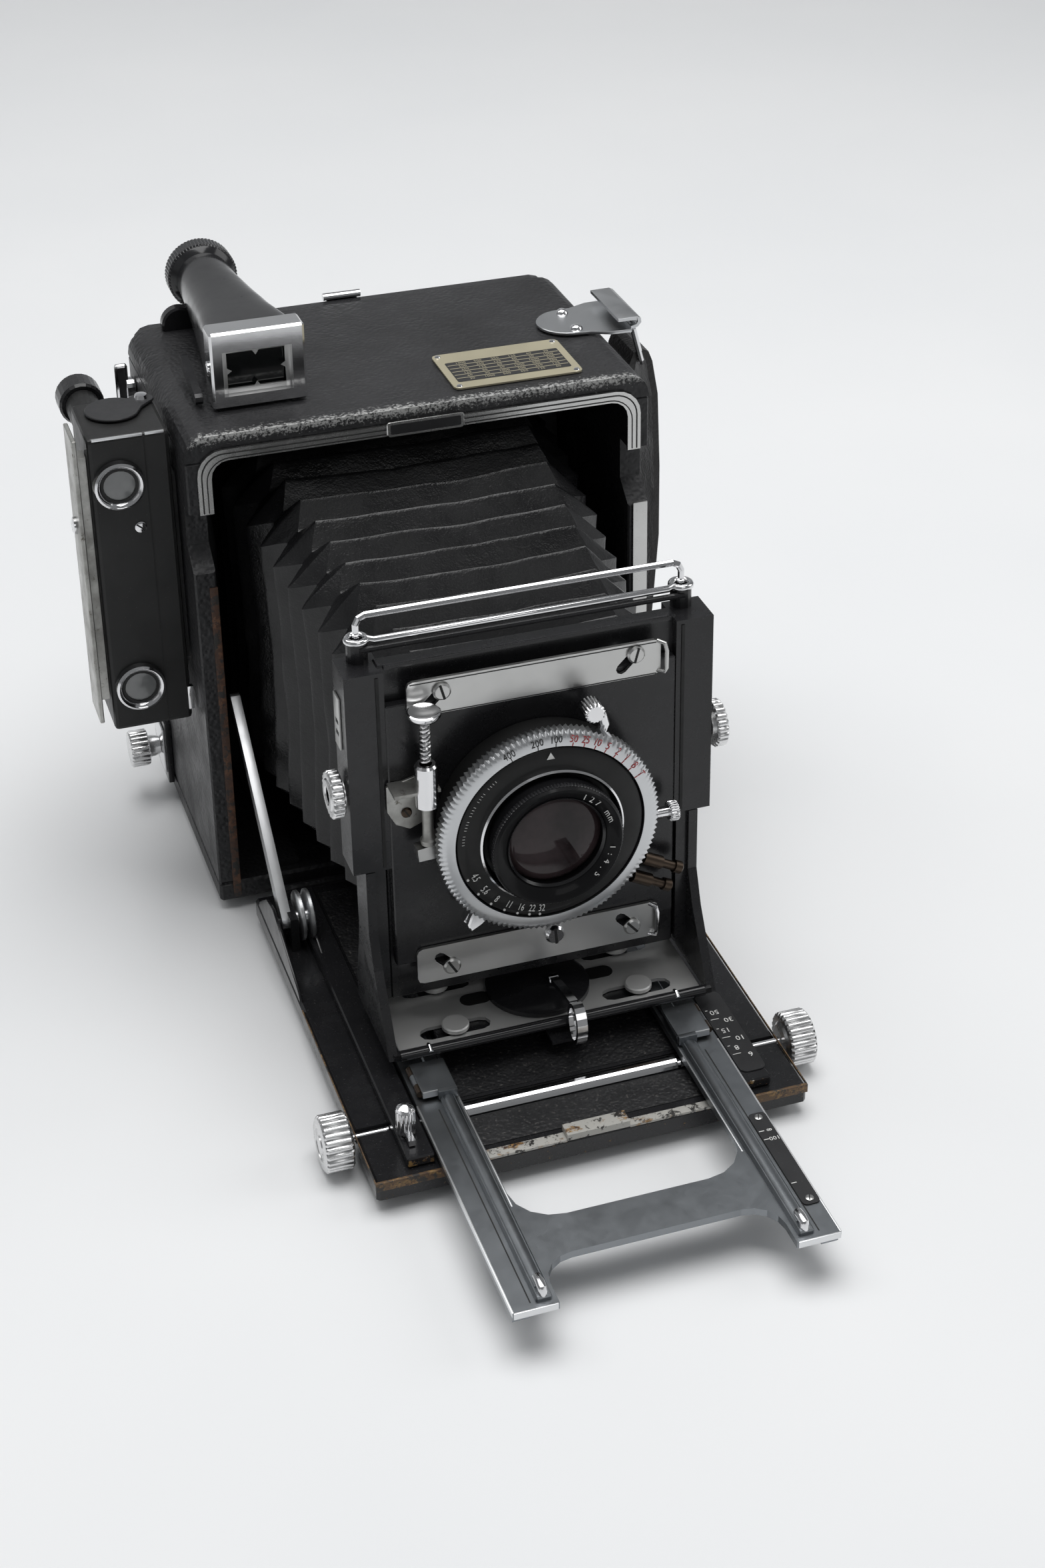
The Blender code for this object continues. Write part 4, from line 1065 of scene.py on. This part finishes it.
def make_finder():
    """The finder's tapering hood runs from its round eyepiece to the square frame."""
    shape = bmesh.new()
    rings = []
    for y, wide, tall, power in (
        (-21.2, 15.6, 12.0, 9.0), (-17.0, 15.2, 11.9, 7.5), (0.0, 13.4, 11.2, 4.2),
        (20.0, 11.8, 10.6, 2.8), (38.0, 10.5, 10.1, 2.2), (54.0, 9.9, 9.9, 2.0),
    ):
        ring = []
        for angle in turns(64):
            c, s = math.cos(angle), math.sin(angle)
            x = wide * math.copysign(abs(c) ** (2 / power), c)
            z = tall * math.copysign(abs(s) ** (2 / power), s)
            ring.append(shape.verts.new(Vector((FINDER_AXIS[0] + x, y, FINDER_AXIS[2] + z)) * MM))
        rings.append(ring)
    bridge(shape, rings)
    shape.faces.new(rings[0])
    shape.faces.new(rings[-1])
    thing = piece("finder_hood", shape, "gloss", "finder")
    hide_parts("finder_tube")
    rear = [(61.0, 0), (62.0, 0), (62.4, 4.0), (61.8, 6.5), (61.0, 6.5)]
    turned("finder_eye_glass", "Y", FINDER_AXIS, rear, "finder glass", "finder", 32)
    rear = [(61.8, 6.4), (62.9, 7.2), (63.2, 9.5), (62.6, 11.8), (61.8, 11.8)]
    turned("finder_eye_ring", "Y", FINDER_AXIS, rear, "satin black", "finder", 48, closed=True)
    fluted("finder_eyecup", "Y", FINDER_AXIS, (55.0, 62.0), 12.6, 0.25, 60, "gloss", "finder", 0.6)
    cup = [(53.0, 9.8), (54.4, 11.4), (55.2, 12.0), (55.2, 9.8)]
    turned("finder_neck", "Y", FINDER_AXIS, cup, "gloss", "finder", 48, closed=True)
    notches = ((-50.9, 204.8, 180), (-50.9, 192.0, 0), (-60.9, 198.3, -90), (-40.9, 198.3, 90))
    for index, (x, z, turn) in enumerate(notches):
        place = facing((x, -28.5, z), (1, 0, 0), (0, 0, 1)) @ Matrix.Rotation(math.radians(turn), 4, "Z")
        corners = ((-1.3, -0.2), (1.3, -0.2), (0, 1.7))
        triangle(f"finder_notch_{index}", corners, place, "clip", "finder")
    for x in ((-62.8, -60.8), (-41.0, -39.0)):
        block(f"finder_inner_{int(-x[0])}", x, (-28.5, -27.6), (190.3, 206.3), "clip", "finder", 0.1)
    for z in ((190.3, 192.1), (204.7, 206.3)):
        block(f"finder_inner_{int(z[0])}", (-60.9, -40.9), (-28.48, -27.6), z, "clip", "finder", 0.1)


def make_body():
    # two dark grooves in the trim and the blank badge
    for index, (inset, wide) in enumerate(((1.4, 0.5), (3.1, 0.4))):
        outer = 77.5 - inset
        top = 180.6 - inset
        path = [(-outer, -50.55, 158.5), (-outer, -50.55, top - 8)]
        path += [(u, -50.55, v) for u, v in arc((-outer + 8, top - 8), 8, 180, 90, 8)]
        path += [(u, -50.55, v) for u, v in arc((outer - 8, top - 8), 8, 90, 0, 8)]
        path += [(outer, -50.55, 158.5)]
        wire(f"trim_groove_{index}", path, wide / 2, "slot", "body", 6)
    slab("badge", "XZ", rounded((-13, 14), (176.5, 181.8), 1.0, 3), (-51.2, -50.5), "trim", "body", 0.3)
    outline = rounded((-11.8, 12.8), (177.4, 180.9), 0.6, 3)
    slab("badge_field", "XZ", outline, (-51.35, -51.1), "satin black", "body", 0.05)
    block("right_strip", (75.1, 80.4), (-50.2, -49.1), (12, 137), "trim", "body", 0.3)
    block("left_edge", (-76.2, -73.4), (-49.5, -48.6), (5, 130), "rust line", "body", 0.2)
    # exposure table: ruled dark panel and rivets
    outline = rounded((16.6, 57.4), (-36.5, -19.5), 0.8, 3)
    slab("table_field", "XY", outline, (186.15, 186.3), "satin black", "body", 0.03)
    profile = [(186.2, 0), (186.2, 1.1), (186.6, 0.8), (186.75, 0)]
    for index, (x, y) in enumerate(((16, -39.6), (58, -39.6), (16, -13.4), (58, -13.4))):
        turned(f"table_rivet_{index}", "Z", (x, y, 0), profile, "chrome", "body", 16)
    for i in range(6):
        y = -19.6 - i * 2.8
        block(f"table_row_{i}", (17.0, 57.0), (y - 0.2, y + 0.2), (186.28, 186.36), "brass", "body", 0)
        for k in range(6):
            value = (1000, 500, 250, 125, 60, 30)[(i + k) % 6]
            place = facing((22 + k * 6.2, y - 1.4, 186.33), (1, 0, 0), (0, 1, 0))
            label(f"table_{i}_{k}", str(value), 1.9, place, "brass", "body")
    # strap bracket: rounded tongue, a widening neck and the end folded back over the loop
    tongue = arc((68.5, 0.6), 11.2, 100, 262, 14)
    tongue += [(73.5, -11.2), (80.0, -14.2), (87.5, -14.6), (87.5, 15.2), (80, 14.8), (73, 12.0)]
    thing = slab("bracket_look", "XY", tongue, (185.9, 187.1), "ring", "body", 0.25)
    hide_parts("strap_bracket")
    fold = [
        (87.2, 187.0), (89.8, 187.6), (91.2, 189.2), (91.0, 190.8), (89.6, 191.6), (82.4, 191.5),
        (82.4, 190.4), (89.0, 190.4), (89.9, 189.6), (89.4, 188.6), (87.2, 188.1),
    ]
    slab("bracket_fold", "XZ", fold, (-14.4, 15.0), "ring", "body", 0.1)
    # strap rivets
    profile = [(187, 0), (187, 2.4), (187.9, 2.0), (188.5, 1.1), (188.7, 0)]
    for index, y in enumerate((8.4, -7.2)):
        turned(f"strap_rivet_{index}", "Z", (69.2, y, 0), profile, "chrome", "body", 24)
    # finder with its glass, side screw, shoe and wheel
    make_finder()
    block("finder_glass", (-62.7, -39.1), (-26.4, -25.6), (190.4, 206.2), "finder glass", "finder", 0)
    screw("finder_side_screw", (-66.7, -27, 199.5), "-X", 2.6, "finder", "chrome", 20)
    shoe = block("shoe_look", (-58, -44), (-20, 47), (185.6, 187.2), "gloss", "body", 0.4)
    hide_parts("finder_shoe")
    wheel = [(44.0, 0), (44.0, 5.6), (44.6, 6.4), (48.0, 6.4), (48.6, 5.6), (48.6, 0)]
    turned("finder_button", "Y", (-62.4, 0, 187.2), wheel, "gloss", "body", 48)
    # rangefinder: window rims and glasses, screw, seam, bright strips along the top edge, flap
    rim = [(-36.7, 6.2), (-37.8, 6.9), (-38.2, 7.6), (-37.6, 8.4), (-35.2, 8.7), (-35.0, 6.2)]
    pane = [(-36.5, 0), (-36.4, 4), (-36.2, 6.4), (-35.6, 6.4), (-35.6, 0)]
    for index, (x, z) in enumerate(((-101, 166.6), (-100.3, 89.8))):
        turned(f"window_rim_{index}", "Y", (x, 0, z), rim, "chrome", "body", 48, closed=True)
        turned(f"window_glass_{index}", "Y", (x, 0, z), pane, "window", "body", 40)
    screw("housing_screw", (-95, -35.1, 149.8), "-Y", 2.0, "body", "chrome", 50, 0.5)
    block("housing_seam", (-91.6, -91.2), (-35.15, -34.9), (74, 182.5), "slot", "body", 0)
    for index, span in enumerate(((-108.6, -91.8), (-91.0, -84.6))):
        block(f"housing_edge_{index}", span, (-35.3, -34.4), (182.9, 183.7), "bright", "body", 0.25)
    block("housing_catch", (-84.2, -82.2), (-35.6, -33.4), (77, 86), "chrome", "body", 0.4)
    paddle = arc((-97.8, -15.0), 9.4, 48, 318, 20) + [(-88.0, -15.8)] + arc((-86.2, -9.4), 3.4, -60, 110, 8)
    thing = slab("flap_look", "XY", paddle, (183.95, 184.9), "satin black", "rangefinder_flap", 0.25)
    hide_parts("rangefinder_flap")
    profile = [(184.9, 0), (184.9, 2.4), (186.1, 2.0), (186.4, 0)]
    turned("flap_rivet_top", "Z", (-87, -9, 0), profile, "chrome", "rangefinder_flap", 24)
    profile = [(-115.1, 3), (-116.2, 3), (-116.6, 2.2), (-116.6, 0)]
    turned("side_stud", "X", (0, -27, 150), profile, "chrome", "body", 24)
    # spring tension knob with its plate and bracket
    thing = fluted("tension_look", "X", TENSION_AXIS, (-96.0, -89.0), 7.0, 0.6, 20, "knob", "tension", 0.5)
    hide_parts("tension_knob")
    profile = [(-89, 0), (-89, 4.4), (-86.5, 4.0), (-84.6, 3.4), (-84.6, 0)]
    turned("tension_neck", "X", TENSION_AXIS, profile, "knob", "tension", 24)
    block("tension_plate", (-84.4, -83.6), (30, 46), (12.2, 31), "chrome", "body", 0.3)
    block("tension_bracket", (-83.5, -81.2), (29, 47), (8, 34), "gloss", "body", 0.5)


# ---------------------------------------------------------------- stage


def make_stage():
    g = Graph("studio floor")
    tone = g.mix(g.ramp(g.noise(3, 3), 0.3, 0.7), rgb(0.80, 0.81, 0.82), rgb(0.84, 0.845, 0.85))
    g.finish(tone, 0.0, 0.6, g.bump(g.noise(300, 2), 0.03, 0.0005))
    # a sweep in metres: flat floor, a quarter circle, an upright wall
    sweep = [(-3.0, 0.0)] + arc((1.4, 1.0), 1.0, -90, 0, 12) + [(2.4, 4.0)]
    shape = bmesh.new()
    rows = [[shape.verts.new((x, y, z - 0.0002)) for x in (-4.0, 4.0)] for y, z in sweep]
    for a, b in zip(rows, rows[1:]):
        shape.faces.new((a[0], a[1], b[1], b[0]))
    data = bpy.data.meshes.new("studio_floor")
    bmesh.ops.recalc_face_normals(shape, faces=shape.faces)
    shape.to_mesh(data)
    shape.free()
    data.materials.append(g.material)
    floor = bpy.data.objects.new("studio_floor", data)
    for polygon in data.polygons:
        polygon.use_smooth = True
    bpy.context.scene.collection.objects.link(floor)

    def lamp(name, at, aim, size, power):
        light = bpy.data.lights.new(name, "AREA")
        light.shape = "RECTANGLE"
        light.size, light.size_y = size
        light.energy = power
        thing = bpy.data.objects.new(name, light)
        thing.location = at
        thing.rotation_euler = (Vector(aim) - Vector(at)).to_track_quat("-Z", "Y").to_euler()
        bpy.context.scene.collection.objects.link(thing)

    lamp("overhead", (0.1, 0.1, 1.9), (0, -0.05, 0.1), (1.5, 1.5), 30)
    lamp("left_box", (-1.5, -0.5, 0.9), (0, -0.1, 0.1), (0.8, 1.0), 0.4)
    lamp("upper_left", (-0.9, 0.6, 1.6), (0, -0.1, 0.1), (0.9, 0.9), 4.5)
    lamp("right_box", (1.5, -0.3, 1.0), (0, -0.1, 0.1), (0.8, 1.0), 5)
    lamp("front_fill", (0.2, -1.9, 1.3), (0, -0.1, 0.1), (1.0, 0.6), 2.5)
    world = bpy.data.worlds.new("studio")
    bpy.context.scene.world = world
    world.use_nodes = True
    world.node_tree.nodes["Background"].inputs["Color"].default_value = (0.86, 0.88, 0.9, 1)
    world.node_tree.nodes["Background"].inputs["Strength"].default_value = 0.22
    bpy.context.scene.view_settings.view_transform = "Standard"

    camera = bpy.data.cameras.new("camera")
    thing = bpy.data.objects.new("camera", camera)
    bpy.context.scene.collection.objects.link(thing)
    yaw, pitch, roll = map(math.radians, (19.07, 28.21, -0.37))
    forward = Vector((math.sin(yaw) * math.cos(pitch), math.cos(yaw) * math.cos(pitch), -math.sin(pitch)))
    right = Vector((math.cos(yaw), -math.sin(yaw), 0))
    up = right.cross(forward)
    right, up = right * math.cos(roll) + up * math.sin(roll), up * math.cos(roll) - right * math.sin(roll)
    thing.matrix_world = Matrix.Translation((-0.2152, -0.8245, 0.5447)) @ Matrix(
        (right, up, -forward)
    ).transposed().to_4x4()
    camera.sensor_width = 36.0
    camera.sensor_fit = "AUTO"
    camera.lens = 60.36
    camera.shift_x = -0.0322
    camera.shift_y = -0.1215
    camera.clip_start = 0.01
    bpy.context.scene.camera = thing


make_plain_nodes()
make_bellows()
make_speed_ring()
make_shutter()
make_levers()
make_release()
make_standard()
make_bed()
make_track_edges()
make_body()
make_stage()
